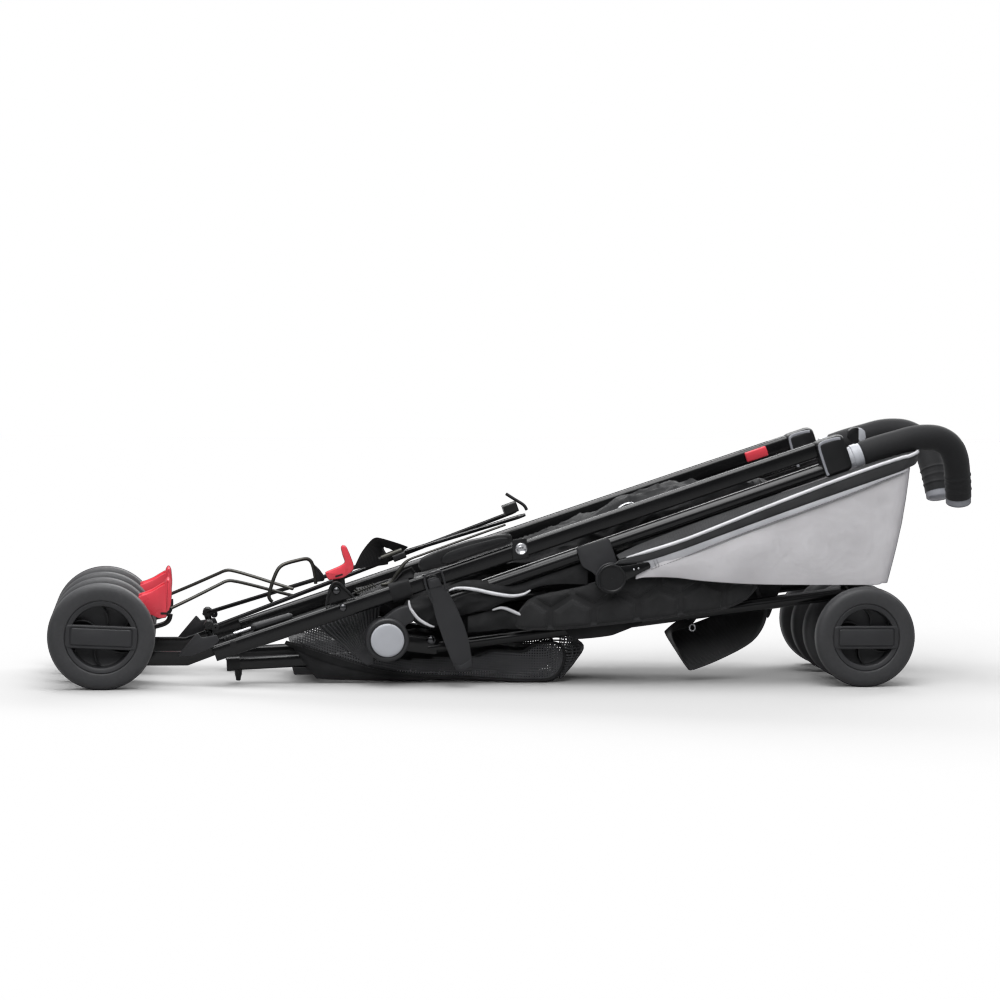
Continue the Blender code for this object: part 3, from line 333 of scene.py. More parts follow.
def moulded(name, colour, roughness, grain=0.0007, depth=0.00004):
    mat = new_finish(name, colour, roughness, Specular_IOR_Level=0.38)
    uneven(mat, cloud(mat, 0.02, 4), roughness, 0.06, 0.08)
    two_tones(mat, cloud(mat, 0.03, 5), tuple(0.85 * c for c in colour), tuple(1.15 * c for c in colour))
    relief(mat, [(cloud(mat, grain), depth), (cloud(mat, 0.018), 0.0001)])
    return mat


def foamed(name, colour, roughness, pore, depth):
    mat = new_finish(name, colour, roughness, Sheen_Weight=0.1, Specular_IOR_Level=0.35)
    cells = add(mat, "TexVoronoi", [(places(mat), "Vector")], Scale=1 / pore).outputs["Distance"]
    two_tones(mat, cloud(mat, 0.004, 6), tuple(0.8 * c for c in colour), tuple(1.2 * c for c in colour))
    relief(mat, [(cells, depth), (cloud(mat, 0.02), 0.0002)])
    return mat


def metal(name, colour, roughness, stretch=(1, 1, 1)):
    mat = new_finish(name, colour, roughness, 1.0)
    uneven(mat, cloud(mat, 0.002, 4, stretch), roughness, 0.08, 0.1)
    relief(mat, [(cloud(mat, 0.001, 2, stretch), 0.000008)])
    return mat


BLACK_PAINT = painted("black_paint", (0.0045, 0.0045, 0.0048), 0.18)
SATIN_BLACK = moulded("satin_black_plastic", (0.0085, 0.0085, 0.0092), 0.36)
DARK_GREY = moulded("dark_grey_plastic", (0.026, 0.026, 0.028), 0.4)
TRIM_GREY = moulded("light_grey_plastic", (0.27, 0.275, 0.3), 0.4)
CAP_SILVER = moulded("silver_cap_plastic", (0.44, 0.45, 0.48), 0.34, depth=0.00001)
RIM_GREY = moulded("rim_grey_plastic", (0.03, 0.03, 0.032), 0.42)
CORAL_RED = moulded("coral_red_plastic", (0.74, 0.058, 0.082), 0.3, depth=0.00001)
TYRE_FOAM = foamed("tyre_foam", (0.041, 0.041, 0.043), 0.5, 0.0009, 0.00005)
GRIP_FOAM = foamed("grip_foam", (0.011, 0.011, 0.012), 0.8, 0.0012, 0.00012)
BRIGHT_STEEL = metal("bright_steel", (0.62, 0.62, 0.64), 0.24)
OLIVE_STEEL = metal("dark_olive_steel", (0.075, 0.074, 0.066), 0.38)
POLISHED_BLACK = metal("polished_black_steel", (0.11, 0.11, 0.115), 0.14)
dict.fromkeys((BLACK_PAINT, OLIVE_STEEL), "black_painted_steel")
dict.fromkeys((SATIN_BLACK, DARK_GREY, TRIM_GREY, CAP_SILVER), "dark_grey_plastic")
dict.fromkeys((BRIGHT_STEEL, POLISHED_BLACK), "plain_steel")

# %% [markdown]
# ## Cloth finishes
#
# The black cloth is a fine polyester weave with a low sheen. The hood's cloth is silver grey and
# smoother. Piping and ribbon are satin: their threads run one way, so they shine more than the weave
# beside them.

# %% Cloth finishes
WEAVE_PITCH = 0.0011


def cloth(name, dark, light, roughness, sheen, depth=0.00008, pitch=WEAVE_PITCH, crease=0.0006):
    """Woven cloth between two tones. depth and pitch belong to its weave, crease to its broad folds."""
    mat = new_finish(name, light, roughness, Specular_IOR_Level=0.35, Sheen_Weight=sheen,
                     Sheen_Roughness=0.45)
    two_tones(mat, spread(mat, cloud(mat, 0.035, 5), 0, 1), dark, light)
    uneven(mat, cloud(mat, 0.012, 3), roughness, 0.08, 0.08)
    relief(mat, [(weave(mat, pitch), depth), (cloud(mat, 0.028, 3), crease)])
    return mat


BLACK_CLOTH = cloth("black_weave", (0.005, 0.005, 0.0055), (0.01, 0.01, 0.011), 0.7, 0.03)
QUILT_CLOTH = cloth("quilted_weave", (0.0085, 0.0085, 0.009), (0.015, 0.015, 0.016), 0.66, 0.16,
                    0.0001, 0.0014)
LINING_CLOTH = cloth("lining_weave", (0.006, 0.006, 0.007), (0.01, 0.01, 0.011), 0.55, 0.06)
WEBBING = cloth("black_webbing", (0.006, 0.006, 0.0065), (0.012, 0.012, 0.013), 0.45, 0.12,
                0.00012, 0.0018, 0.0001)
SILVER_CLOTH = cloth("silver_weave", (0.56, 0.545, 0.56), (0.63, 0.615, 0.63), 0.6, 0.1,
                     0.00005, 0.0009, 0.0012)
PIPING = cloth("pale_piping", (0.6, 0.6, 0.62), (0.72, 0.72, 0.74), 0.42, 0.1, 0.00005, 0.0009, 0.0001)
RIBBON = cloth("silver_ribbon", (0.34, 0.34, 0.36), (0.46, 0.46, 0.48), 0.36, 0.1, 0.00004, 0.0008, 0.0002)
BINDING = cloth("binding_tape", (0.02, 0.02, 0.021), (0.032, 0.032, 0.034), 0.6, 0.2, 0.00008, 0.0012, 0.0002)
THREAD = cloth("sewing_thread", (0.02, 0.02, 0.021), (0.036, 0.036, 0.038), 0.5, 0.1, 0.00002, 0.0006, 0.0001)
NETTING = cloth("black_netting", (0.046, 0.046, 0.049), (0.072, 0.072, 0.076), 0.6, 0.2,
                0.00003, 0.0008, 0.0001)
dict.fromkeys((BLACK_CLOTH, QUILT_CLOTH, LINING_CLOTH, WEBBING, BINDING, THREAD, NETTING),
                           "black_fabric")
dict.fromkeys((SILVER_CLOTH, PIPING, RIBBON), "silver_grey_fabric")

# %% [markdown]
# ## Building pieces
#
# Most pieces here are a skin over rows of points: a turned shape repeats its profile round an axis, a
# tube repeats its section along a route, and a plate repeats its outline across its thickness with the
# edge drawn in a little. Writing the rows ourselves keeps every edge rounded and every piece closed,
# which a Boolean would not promise.

# %% Skins over rows of points
def skin(rows, ring=True, loop=False, caps=True):
    """A mesh over rows of points. ring closes each row, loop joins the last row to the first."""
    count = len(rows[0])
    faces = []
    for index in range(len(rows) if loop else len(rows) - 1):
        here, there = index * count, (index + 1) % len(rows) * count
        for k in range(count if ring else count - 1):
            after = (k + 1) % count
            faces.append((here + k, here + after, there + after, there + k))
    if caps and ring and not loop:
        faces += [tuple(range(count)), tuple(range((len(rows) - 1) * count, len(rows) * count))]
    mesh = bpy.data.meshes.new("skin")
    mesh.from_pydata([point for row in rows for point in row], [], faces)
    work = bmesh.new()
    work.from_mesh(mesh)
    bmesh.ops.recalc_face_normals(work, faces=work.faces)
    work.to_mesh(mesh)
    work.free()
    return mesh


def merged(meshes):
    """Several meshes as one."""
    work = bmesh.new()
    for mesh in meshes:
        work.from_mesh(mesh)
        bpy.data.meshes.remove(mesh)
    made = bpy.data.meshes.new("merged")
    work.to_mesh(made)
    work.free()
    return made


def piece(name, mesh, finish, body=None, stands_for=(), sharp=38):
    """A named object with its finish, smooth faces and the body it rides on."""
    obj = bpy.data.objects.new(name, mesh)
    scene.collection.objects.link(obj)
    mesh.name = name
    mesh.materials.append(finish)
    mesh.shade_smooth()
    mesh.set_sharp_from_angle(angle=radians(sharp))
    if body:
        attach(obj, body)
    if stands_for:
        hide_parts(*stands_for)
    return obj


def near_tube(name, mesh, finish):
    """A piece of the near side frame, the right one."""
    return piece(name, mesh, finish, "frame_right")


print("skin, merged, piece and near_tube ready")

# %% Turned, swept and plate shapes
def turned(profile, x, z, side, steps=96):
    """A profile of (radius, distance from the middle plane) turned about the Y line through x and z."""
    rows = []
    for step in range(steps):
        angle = 2 * pi * step / steps
        rows.append([at(x + r * cos(angle), side * y, z + r * sin(angle)) for r, y in profile])
    return skin(rows, loop=True)


def round_section(radius, sides=24):
    return [(radius * cos(2 * pi * k / sides), radius * sin(2 * pi * k / sides)) for k in range(sides)]


def box_section(width, depth, radius, steps=5):
    """A rectangle with round corners, width along Y."""
    ring = []
    for corner, (sx, sy) in enumerate(((1, 1), (-1, 1), (-1, -1), (1, -1))):
        for k in range(steps + 1):
            angle = radians(90 * (corner + k / steps))
            ring.append((sx * (width / 2 - radius) + radius * cos(angle),
                         sy * (depth / 2 - radius) + radius * sin(angle)))
    return ring


def smooth_route(points, steps=6):
    """A smooth curve through a few chosen points."""
    spots = [Vector(p) for p in points]
    made = []
    for i in range(len(spots) - 1):
        a, b, c, d = spots[max(i - 1, 0)], spots[i], spots[i + 1], spots[min(i + 2, len(spots) - 1)]
        for k in range(steps):
            t = k / steps
            made.append(0.5 * (2 * b + (c - a) * t + (2 * a - 5 * b + 4 * c - d) * t * t
                               + (3 * b - a - 3 * c + d) * t ** 3))
    return made + [spots[-1]]


def swept(route, section, scale=None, side_way=Vector((0, 1, 0))):
    """A section carried along a route. scale(share) swells or thins it on the way."""
    rows = []
    for i, spot in enumerate(route):
        way = (route[min(i + 1, len(route) - 1)] - route[max(i - 1, 0)]).normalized()
        sideways = (side_way - way * side_way.dot(way)).normalized()
        upwards = way.cross(sideways)
        size = scale(i / (len(route) - 1)) if scale else 1.0
        rows.append([spot + (sideways * u + upwards * v) * size for u, v in section])
    return skin(rows)


def rounded(outline, radius, steps=4):
    """An outline in XZ with each corner replaced by a short curve."""
    spots = [Vector(p) for p in outline]
    made = []
    for i, corner in enumerate(spots):
        before, after = spots[i - 1] - corner, spots[(i + 1) % len(spots)] - corner
        start = corner + before.normalized() * min(radius, before.length * 0.45)
        stop = corner + after.normalized() * min(radius, after.length * 0.45)
        for k in range(steps + 1):
            t = k / steps
            made.append(start * (1 - t) ** 2 + corner * 2 * t * (1 - t) + stop * t * t)
    return made


def drawn_in(outline, distance):
    """The same outline moved inwards, each point square to its neighbours."""
    area = sum(a.x * b.y - b.x * a.y for a, b in zip(outline, outline[1:] + outline[:1]))
    made = []
    for i, spot in enumerate(outline):
        along = outline[(i + 1) % len(outline)] - outline[i - 1]
        inward = Vector((-along.y, along.x)).normalized() * (1 if area > 0 else -1)
        made.append(spot + inward * distance)
    return made


def plate(outline, y_from, y_to, edge=0.0006):
    """A flat piece between two values of y, with rounded edges."""
    outline = [Vector(p) for p in outline]
    way = 1 if y_to > y_from else -1
    levels = [(drawn_in(outline, edge), y_from), (drawn_in(outline, edge * 0.3), y_from + way * edge * 0.3),
              (outline, y_from + way * edge), (outline, y_to - way * edge),
              (drawn_in(outline, edge * 0.3), y_to - way * edge * 0.3), (drawn_in(outline, edge), y_to)]
    return skin([[at(p.x, y, p.y) for p in ring] for ring, y in levels])


def strip(route, width):
    """The outline of a bent bar of one width along a route in XZ."""
    spots = [Vector(p) for p in route]
    top, low = [], []
    for i, spot in enumerate(spots):
        way = (spots[min(i + 1, len(spots) - 1)] - spots[max(i - 1, 0)]).normalized()
        normal = Vector((-way.y, way.x)) * width / 2
        top.append(spot + normal)
        low.append(spot - normal)
    return top + low[::-1]


def circle(centre, radius, steps=28, start=0, stop=360):
    """Points of an arc in XZ, in degrees."""
    whole = steps if stop - start >= 360 else steps + 1
    angles = [radians(start + (stop - start) * k / steps) for k in range(whole)]
    return [(centre[0] + radius * cos(a), centre[1] + radius * sin(a)) for a in angles]


print("turned, swept and plate ready")

# %% [markdown]
# ## Carried-over pieces
#
# Forks, axles, seat rails, legs and the brace already have the right shape in the frame. They keep it and
# get a finish. Their faces meet at sharp edges, which nothing real has, so a Weld joins the loose points
# of the imported mesh and a small Bevel then rounds every edge.

# %% Dress the frame's own pieces
WELD = 0.00001


def dressed(node, finish, width=0.0008, segments=2, sharp=38):
    """Gives one of the frame's nodes its finish and rounded edges. Its own mesh stays as it is."""
    obj = frame["nodes"][node]
    obj.data.materials.clear()
    obj.data.materials.append(finish)
    weld = obj.modifiers.new("weld", "WELD")
    weld.merge_threshold = WELD
    bevel = obj.modifiers.new("bevel", "BEVEL")
    bevel.width = width
    bevel.segments = segments
    bevel.limit_method = "ANGLE"
    bevel.angle_limit = radians(35)
    bevel.use_clamp_overlap = True
    obj.data.shade_smooth()
    obj.data.set_sharp_from_angle(angle=radians(sharp))


for side_name in NAMES.values():
    dressed("caster_fork_" + side_name, DARK_GREY)
    for node in ("rear_axle", "front_axle"):
        dressed(f"{node}_{side_name}", BRIGHT_STEEL, 0.0004)
    for node in ("rear_leg", "seat_rail", "cross_bar", "hood_arm"):
        dressed(f"{node}_{side_name}", BLACK_PAINT, 0.0007)
dressed("recline_button", CORAL_RED, 0.001)
print("dressed", sum(1 for o in frame["nodes"].values() if o.modifiers))

# %% [markdown]
# ## Wheels
#
# Each wheel is a foam tyre on a moulded rim. The tyre's flat side is wide, with a fine step where the rim
# begins. The rim is a ring with a deep dish, a hub on curved webs, and a flat bar across the front. The
# bar has a sunk outline round a plain panel. Turning a profile gives the round parts; the bar is stacked
# from rounded rectangles.

# %% Wheel sizes
REAR_R, FRONT_R = 0.0625, 0.06
REAR_X, FRONT_X = -0.477, 0.429
AXLE_SHARE = cos(pi / 24)
UNIT_Y, TWIN = 0.074, 0.037
TYRE_HALF = 0.012
STEP_BACK, OPENING_BACK = 0.0196, 0.0262
HUB_R, BORE_R = 0.0112, 0.0044
BAR_HALF_HEIGHT = 0.0137
BAR_TILT = radians(2.5)
WEBS = 6
BAR_RINGS = drawn(
    0, 0, 40, 55, 0, 0, 40, 104, 4, 4, 37, 110, 10, 10, 33, 113, 50, 24, 30, 113, 55, 28, 28, 102,
    63, 36, 24, 102, 68, 41, 22, 111, 76, 48, 18, 114, each=4)


def scaled(half, pairs):
    """A profile whose widths are shares of half."""
    return [(r, share * half) for r, share in pairs]


def tyre_mesh(x, y, z, radius, side):
    """A foam tyre with flat sides and a round tread."""
    half, inner = TYRE_HALF, radius - STEP_BACK
    outer = scaled(half, ((inner, 0.86), (inner + 0.0006, 0.93), (inner + 0.0016, 0.955),
                          (radius - 0.0125, 1), (radius - 0.008, 0.985), (radius - 0.0046, 0.92),
                          (radius - 0.0022, 0.79), (radius - 0.0008, 0.6), (radius - 0.0001, 0.34)))
    profile = outer + [(r, -w) for r, w in reversed(outer)]
    return turned([(r, y * side + w) for r, w in profile], x, z, side)


def rim_mesh(x, y, z, radius, dish):
    """The rim's ring, web plate and hub, with its dish towards the given side."""
    half, outer, lip = TYRE_HALF, radius - STEP_BACK - 0.0003, radius - OPENING_BACK
    profile = scaled(half, ((outer, -0.84), (outer, 0.84), (outer - 0.0008, 0.9), (lip + 0.0016, 0.86),
                            (lip + 0.0004, 0.8), (lip, 0.68), (lip - 0.0012, -0.5), (lip - 0.003, -0.56),
                            (HUB_R + 0.001, -0.56), (HUB_R, -0.48), (HUB_R - 0.0004, 0.34),
                            (HUB_R - 0.0014, 0.42), (BORE_R, 0.42), (BORE_R, -0.84)))
    return turned([(r, y * dish + w) for r, w in profile], x, z, dish)


def web_mesh(x, y, z, radius, dish, index):
    """One curved web between the hub and the ring, standing in the dish."""
    spots = []
    for k in range(9):
        r = HUB_R - 0.001 + (radius - OPENING_BACK - HUB_R + 0.0015) * k / 8
        angle = 2 * pi * index / WEBS + 0.55 * (k / 8) ** 1.4
        spots.append(at(x + r * cos(angle), y - dish * 0.0022, z + r * sin(angle)))
    return swept(spots, box_section(0.0078, 0.0019, 0.0006, 2))


def bar_mesh(x, y, z, radius, dish, tilt):
    """The flat bar across the dish: rounded rectangles one on another, with a sunk line round a panel."""
    rows = []
    for narrower, lower, corner, height in BAR_RINGS:
        width, tall = 2 * (radius - STEP_BACK - 0.0012 - narrower), 2 * (BAR_HALF_HEIGHT - lower)
        rows.append([at(x + u * cos(tilt) - v * sin(tilt), y + dish * height,
                        z + u * sin(tilt) + v * cos(tilt)) for u, v in box_section(width, tall, corner)])
    return skin(rows)


# %% Make the eight wheels
for side, side_name, body in SIDES:
    for end, x, radius in (("rear", REAR_X, REAR_R), ("front", FRONT_X, FRONT_R)):
        for place, offset in (("outer", TWIN), ("inner", -TWIN)):
            y, z = side * (UNIT_Y + offset), radius * AXLE_SHARE
            dish = side if place == "outer" else -side
            wheel = f"{end}_wheel_{side_name}_{place}"
            tyre, rim = (wheel.replace("wheel", part) for part in ("tyre", "rim"))
            piece(tyre + "_foam", tyre_mesh(x, y, z, radius, side), TYRE_FOAM, wheel, [tyre])
            tilt = -BAR_TILT if end == "rear" else 0.0
            # The webs get satin black, darker than the rim's grey: painted shade for the deep dish they stand
            # in.
            webs = [web_mesh(x, y, z, radius, dish, k) for k in range(WEBS)]
            moulding = [rim_mesh(x, y, z, radius, dish), bar_mesh(x, y, z, radius, dish, tilt)]
            piece(rim + "_moulding", merged(moulding), RIM_GREY, wheel, [rim])
            piece(rim + "_webs_painted_shade", merged(webs), SATIN_BLACK, wheel)
print("wheels of", REAR_R * 2000, "and", FRONT_R * 2000, "mm")

# %% [markdown]
# ## Main and side tubes
#
# Two tubes run up each side: a rectangular one with generous round edges, and a round one under it. A
# swept section is the natural way to make both. Their ends follow from the same foot, slope and length as
# the frame's.

# %% Tubes
TUBE_Y, TUBE_WIDTH, TUBE_DEPTH, TUBE_CORNER = 0.088, 0.016, 0.019, 0.0045
TUBE_FOOT, TUBE_SLOPE, TUBE_LENGTH = (-0.345, 0.0395), radians(18.7), 0.755
SIDE_TUBE_Y, SIDE_TUBE_R = 0.092, 0.009
SIDE_TUBE_FOOT, SIDE_TUBE_DROP = (-0.112, 0.0885), 0.0255
ALONG = Vector((cos(TUBE_SLOPE), 0, sin(TUBE_SLOPE)))
SQUARE = Vector((-sin(TUBE_SLOPE), 0, cos(TUBE_SLOPE)))
LEVER_PIVOT = (-0.199, 0.125)
EAR_TOP_R, EAR_IN, EAR_OUT = 0.007, 0.0802, 0.084
CLIP_PIVOT = (-0.088, 0.1275)


def on_tube(distance, rise=0.0, y=0.0):
    """A point beside the main tube's centre line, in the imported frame."""
    return at(TUBE_FOOT[0], y, TUBE_FOOT[1]) + ALONG * distance + SQUARE * rise


def drawing(point):
    """The X and Z of a packed point, in the drawing."""
    return (point.x - BACK, point.z)


TUBE_TOP = drawing(on_tube(TUBE_LENGTH))
SIDE_TUBE_TOP = drawing(on_tube(TUBE_LENGTH, -SIDE_TUBE_DROP))
for side, side_name, body in SIDES:
    route = [on_tube(TUBE_LENGTH * k / 12, 0, side * TUBE_Y) for k in range(13)]
    main_tube = swept(route, box_section(TUBE_WIDTH, TUBE_DEPTH, TUBE_CORNER))
    piece(f"main_tube_{side_name}_steel", main_tube, BLACK_PAINT, body, ["main_tube_" + side_name])
    route = level((SIDE_TUBE_FOOT, SIDE_TUBE_TOP), side * SIDE_TUBE_Y)
    side_tube = swept(route, round_section(SIDE_TUBE_R, 32))
    piece(f"side_tube_{side_name}_steel", side_tube, BLACK_PAINT, body, ["side_tube_" + side_name])

ear_foot = [(LEVER_PIVOT[0] - 0.01, 0.092), (LEVER_PIVOT[0] + 0.01, 0.097)]
ear_outline = ear_foot + circle(LEVER_PIVOT, EAR_TOP_R, 12, 0, 180)
near_tube("lever_ear", plate(ear_outline, -EAR_OUT, -EAR_IN), SATIN_BLACK)
boss = drawn(10, 920, 60, 920, 60, 1086, 54, 1090, 10, 1090)
near_tube("clip_boss", turned(boss, *CLIP_PIVOT, RIGHT, 32), SATIN_BLACK)
print("tubes reach", [round(c, 4) for c in TUBE_TOP])

# %% [markdown]
# ## Hinge housings
#
# Where the front leg meets the frame sits a round housing with a satin silver cap. Around the cap runs a
# dark gap, which is what makes the cap read as a separate part. Both are turned; the arm up to the side
# tube is a plate.

# %% Hinge housings
HINGE = (HINGE_X, HINGE_Z)
CAP_R = 0.0196
HOUSING_PROFILE = drawn(
    10, 832, 250, 832, 260, 842, 260, 1040, 254, 1058, 240, 1069, 222, 1070, 208, 1064, 205, 1040, 10, 1040)
CAP_PROFILE = [(0.0002, 0.1046), (CAP_R - 0.0004, 0.1046), (CAP_R, 0.105), (CAP_R, 0.1078),
               (CAP_R - 0.0008, 0.1086), (CAP_R - 0.0022, 0.109), (0.012, 0.1093), (0.0002, 0.1094)]


def housing_arm(side):
    """The arm that carries the foot of the side tube, with a socket's swelling at its end."""
    foot = Vector(SIDE_TUBE_FOOT)
    way = (Vector(SIDE_TUBE_TOP) - foot).normalized()
    foot -= way * 0.0005
    normal = Vector((-way.y, way.x))
    outline = [foot + normal * 0.0108, foot - normal * 0.0108, foot - way * 0.014 - normal * 0.0112,
               *beside(HINGE, drawn(235, -60, 120, -220, -120, 140, -60, 245)),
               foot - way * 0.016 + normal * 0.011]
    return plate(rounded(outline, 0.006), side * 0.0836, side * 0.1028, 0.0022)


for side, side_name, body in SIDES:
    pin = drawn(10, 485, 48, 485, 48, 850, 10, 850)
    housing = [turned(HOUSING_PROFILE, *HINGE, side), housing_arm(side), turned(pin, *HINGE, side, 32)]
    piece(f"hinge_housing_{side_name}_shell", merged(housing), DARK_GREY, body,
          ["hinge_housing_" + side_name])
    piece("hinge_cap_" + side_name, turned(CAP_PROFILE, *HINGE, side, 128), CAP_SILVER, body)
print("hinge caps", round(2000 * CAP_R, 1), "mm across")

# %% [markdown]
# ## Front legs
#
# A front leg is a round tube that starts in a flat bracket on the hinge and ends in the socket of the
# caster's stem. The socket has a hole through it, so it is turned about its own slanted line.

# %% Front legs
LEG_R, LEG_KNEE = 0.0075, (-0.08, 0.045)
STEM = radians(125.3)
STEM_WAY, STEM_AHEAD = (cos(STEM), sin(STEM)), (sin(STEM), -cos(STEM))
STEM_TRAIL = 0.028
BRACKET_WIDTH, BRACKET_HALF = 0.019, 0.007
SOCKET_PROFILE = drawn(
    63, 300, 128, 300, 135, 307, 135, 330, 129, 340, 126, 580, 135, 590, 135, 613, 128, 620, 63, 620)


def on_stem(distance, side, ahead=0.0):
    """A point on a caster's stem line, measured up from level with the axle."""
    reach = STEM_TRAIL + ahead
    return at(FRONT_X + STEM_AHEAD[0] * reach + STEM_WAY[0] * distance, side * UNIT_Y,
              FRONT_R * AXLE_SHARE + STEM_AHEAD[1] * reach + STEM_WAY[1] * distance)


def socket_mesh(side):
    """The leg's socket, turned about the caster's slanted line."""
    rows = []
    for k in range(48):
        angle = 2 * pi * k / 48
        rows.append([on_stem(height, side, r * cos(angle)) + Vector((0, r * sin(angle), 0))
                     for r, height in SOCKET_PROFILE])
    return skin(rows, loop=True)


for side, side_name, body in SIDES:
    y = side * UNIT_Y
    eye = drawn(54, 0, 152, 0, 160, 8, 160, 148, 152, 156, 54, 156)
    eye_ring = turned([(r, UNIT_Y - 0.0078 + w) for r, w in eye], *HINGE, side, 64)
    bent = strip([*beside(HINGE, drawn(100, -30, 200, -60)), LEG_KNEE], BRACKET_WIDTH)
    bracket = plate(rounded(bent, 0.004), y - BRACKET_HALF, y + BRACKET_HALF, 0.0012)
    start = at(LEG_KNEE[0] - 0.012, y, LEG_KNEE[1] - 0.002)
    stop = on_stem(0.046, side, -0.006)
    tube = swept([start, start.lerp(stop, 0.5), stop], round_section(LEG_R, 32))
    piece(f"front_leg_{side_name}_steel", merged([eye_ring, bracket, tube, socket_mesh(side)]), BLACK_PAINT,
          "front_leg_" + side_name, ["front_leg_" + side_name])
print("front legs end at", [round(c, 3) for c in on_stem(0.046, RIGHT)])

# %% [markdown]
# ## Brake link rods
#
# Two bent rods run from the brakes towards the middle, where they meet. On the real frame they are flat
# strips with soft bends and a dark, slightly olive finish. A smooth route gives the bends and a thin box
# section the strip.

# %% Link rods
LINK_Y, LINK_TURN, LINK_LAYER = 0.0505, radians(17.6), 0.0075
LINK_ROUTE = drawn(
    -3970, 885, -3720, 998, -3420, 1140, -3300, 1192, -3200, 1186, -3000, 1135, -2700, 1047, -2500, 990)
for side, side_name, body in SIDES:
    layer = LINK_LAYER if side == LEFT else 0.0
    route = [at(x, side * (LINK_Y - (x + 0.397) * tan(LINK_TURN)), z + layer) for x, z in LINK_ROUTE]
    rod = swept(smooth_route(route, 5), box_section(0.0064, 0.003, 0.0012, 3))
    piece(f"link_rod_{side_name}_strip", rod, OLIVE_STEEL, "link_rod_" + side_name, ["link_rod_" + side_name])
print("link rods end", round(1000 * (LINK_Y - 0.147 * tan(LINK_TURN)), 1), "mm from the middle")

# %% [markdown]
# ## Handles
#
# At the top of each tube a black shroud holds both tubes and the handle. Light grey trim runs along its
# edges, and a silver collar closes the joint to the grip. The grip is a fat foam sleeve that curls down
# and inwards, with three thin ribs and a grey cap at its end. Its section is swept along a smooth route,
# and swells for each rib.

# %% Handles and grips
GRIP_R = 0.0155
GRIP_ROUTE = drawn(
    4262, 2768, 895, 4470, 2840, 896, 4700, 2905, 895, 4880, 2955, 890, 5040, 2972, 878, 5190, 2960, 853,
    5315, 2905, 816, 5400, 2820, 770, 5460, 2700, 712, 5500, 2540, 635, 5530, 2380, 570, 5550, 2230, 520,
    5560, 2130, 490, each=3)
RIB_PLACES = (0.8, 0.848, 0.893)
CAP_START, DOME_START, CAP_SIZE = 0.945, 0.62, 0.965
SHROUD_WIDTH, SHROUD_DEPTH, SHROUD_DROP, SHROUD_LENGTH = 0.0285, 0.045, 0.0125, 0.034
SHROUD_Y, COLLAR_R = 0.09125, 0.015


def grip_swell(share):
    """The sleeve's radius along its length: round at the mouth, with three ribs near its end."""
    mouth = 0.9 + 0.1 * min(1.0, share / 0.012)
    ribs = sum(0.055 * exp(-((share - place) / 0.0055) ** 2) for place in RIB_PLACES)
    return (mouth + ribs) * (0.975 if share > CAP_START else 1.0)


def cap_swell(share):
    """The cap's radius: a short cylinder with a domed end."""
    if share < DOME_START:
        return CAP_SIZE
    return CAP_SIZE * sqrt(max(0.05, 1 - ((share - DOME_START) / 0.4) ** 2))


def resampled(route, count):
    """The same line with evenly spaced points."""
    lengths = [0.0]
    for a, b in zip(route, route[1:]):
        lengths.append(lengths[-1] + (b - a).length)
    made, i = [], 0
    for k in range(count):
        target = lengths[-1] * k / (count - 1)
        while i < len(route) - 2 and lengths[i + 1] < target:
            i += 1
        share = (target - lengths[i]) / max(1e-9, lengths[i + 1] - lengths[i])
        made.append(route[i].lerp(route[i + 1], min(1.0, share)))
    return made


def grip_meshes(side):
    """The foam sleeve and the cap at its end."""
    route = resampled(smooth_route([at(x, side * y, z) for x, z, y in GRIP_ROUTE], 8), 161)
    cut = int(CAP_START * 160)
    foam = swept(route[:cut + 1], round_section(GRIP_R, 40), lambda share: grip_swell(share * CAP_START))
    return foam, swept(route[cut:], round_section(GRIP_R, 40), cap_swell)


for side, side_name, body in SIDES:
    foam, cap = grip_meshes(side)
    piece(f"grip_{side_name}_foam", foam, GRIP_FOAM, body, ["grip_" + side_name])
    piece("grip_cap_" + side_name, cap, TRIM_GREY, body)

# %% Shrouds, trim and collars
def shroud_rows(side):
    """Rounded sections along the tubes, narrower at the ends."""
    rows = []
    for share, size in ((0.0, 0.9), (0.04, 0.96), (0.12, 1.0), (0.8, 1.0), (0.93, 0.96), (1.0, 0.86)):
        middle = on_tube(TUBE_LENGTH + 0.0003 + SHROUD_LENGTH * share, -SHROUD_DROP, side * SHROUD_Y)
        ring = box_section(SHROUD_WIDTH * size, SHROUD_DEPTH * size, 0.0065)
        rows.append([middle + Vector((0, 1, 0)) * u + SQUARE * v for u, v in ring])
    return rows


def collar_mesh(side):
    """The ring round the grip's mouth."""
    mouth, beyond = (at(x, side * y, z) for x, z, y in GRIP_ROUTE[:2])
    way = (beyond - mouth).normalized()
    route = [mouth - way * d for d in (0.034, 0.018, 0.012, 0.0115, 0.0045, 0.004, 0.0006)]
    sizes = (0.8, 0.86, 0.9, 0.985, 0.985, 0.94, 0.93)
    sideways = Vector((0, 1, 0)) - way * way.y
    upwards = way.cross(sideways).normalized()
    ring = [sideways.normalized() * u + upwards * v for u, v in round_section(COLLAR_R, 40)]
    return skin([[spot + place * size for place in ring] for spot, size in zip(route, sizes)])


def trim_mesh(side, face):
    """The light rib along the left and top edges of the shroud's outer face (1) or inner face (-1)."""
    half = SHROUD_DEPTH / 2 - 0.003
    y = side * (SHROUD_Y + face * (SHROUD_WIDTH / 2 - 0.0012))
    corners = [(0.003, -half), (0.0026, -0.01), (0.0028, half - 0.006), (0.0068, half),
               (0.02, half + 0.0002), (0.03, half - 0.0016)]
    route = [on_tube(TUBE_LENGTH + d, -SHROUD_DROP + rise, y) for d, rise in corners]
    return swept(smooth_route(route), box_section(0.0022, 0.0036, 0.0009, 2))


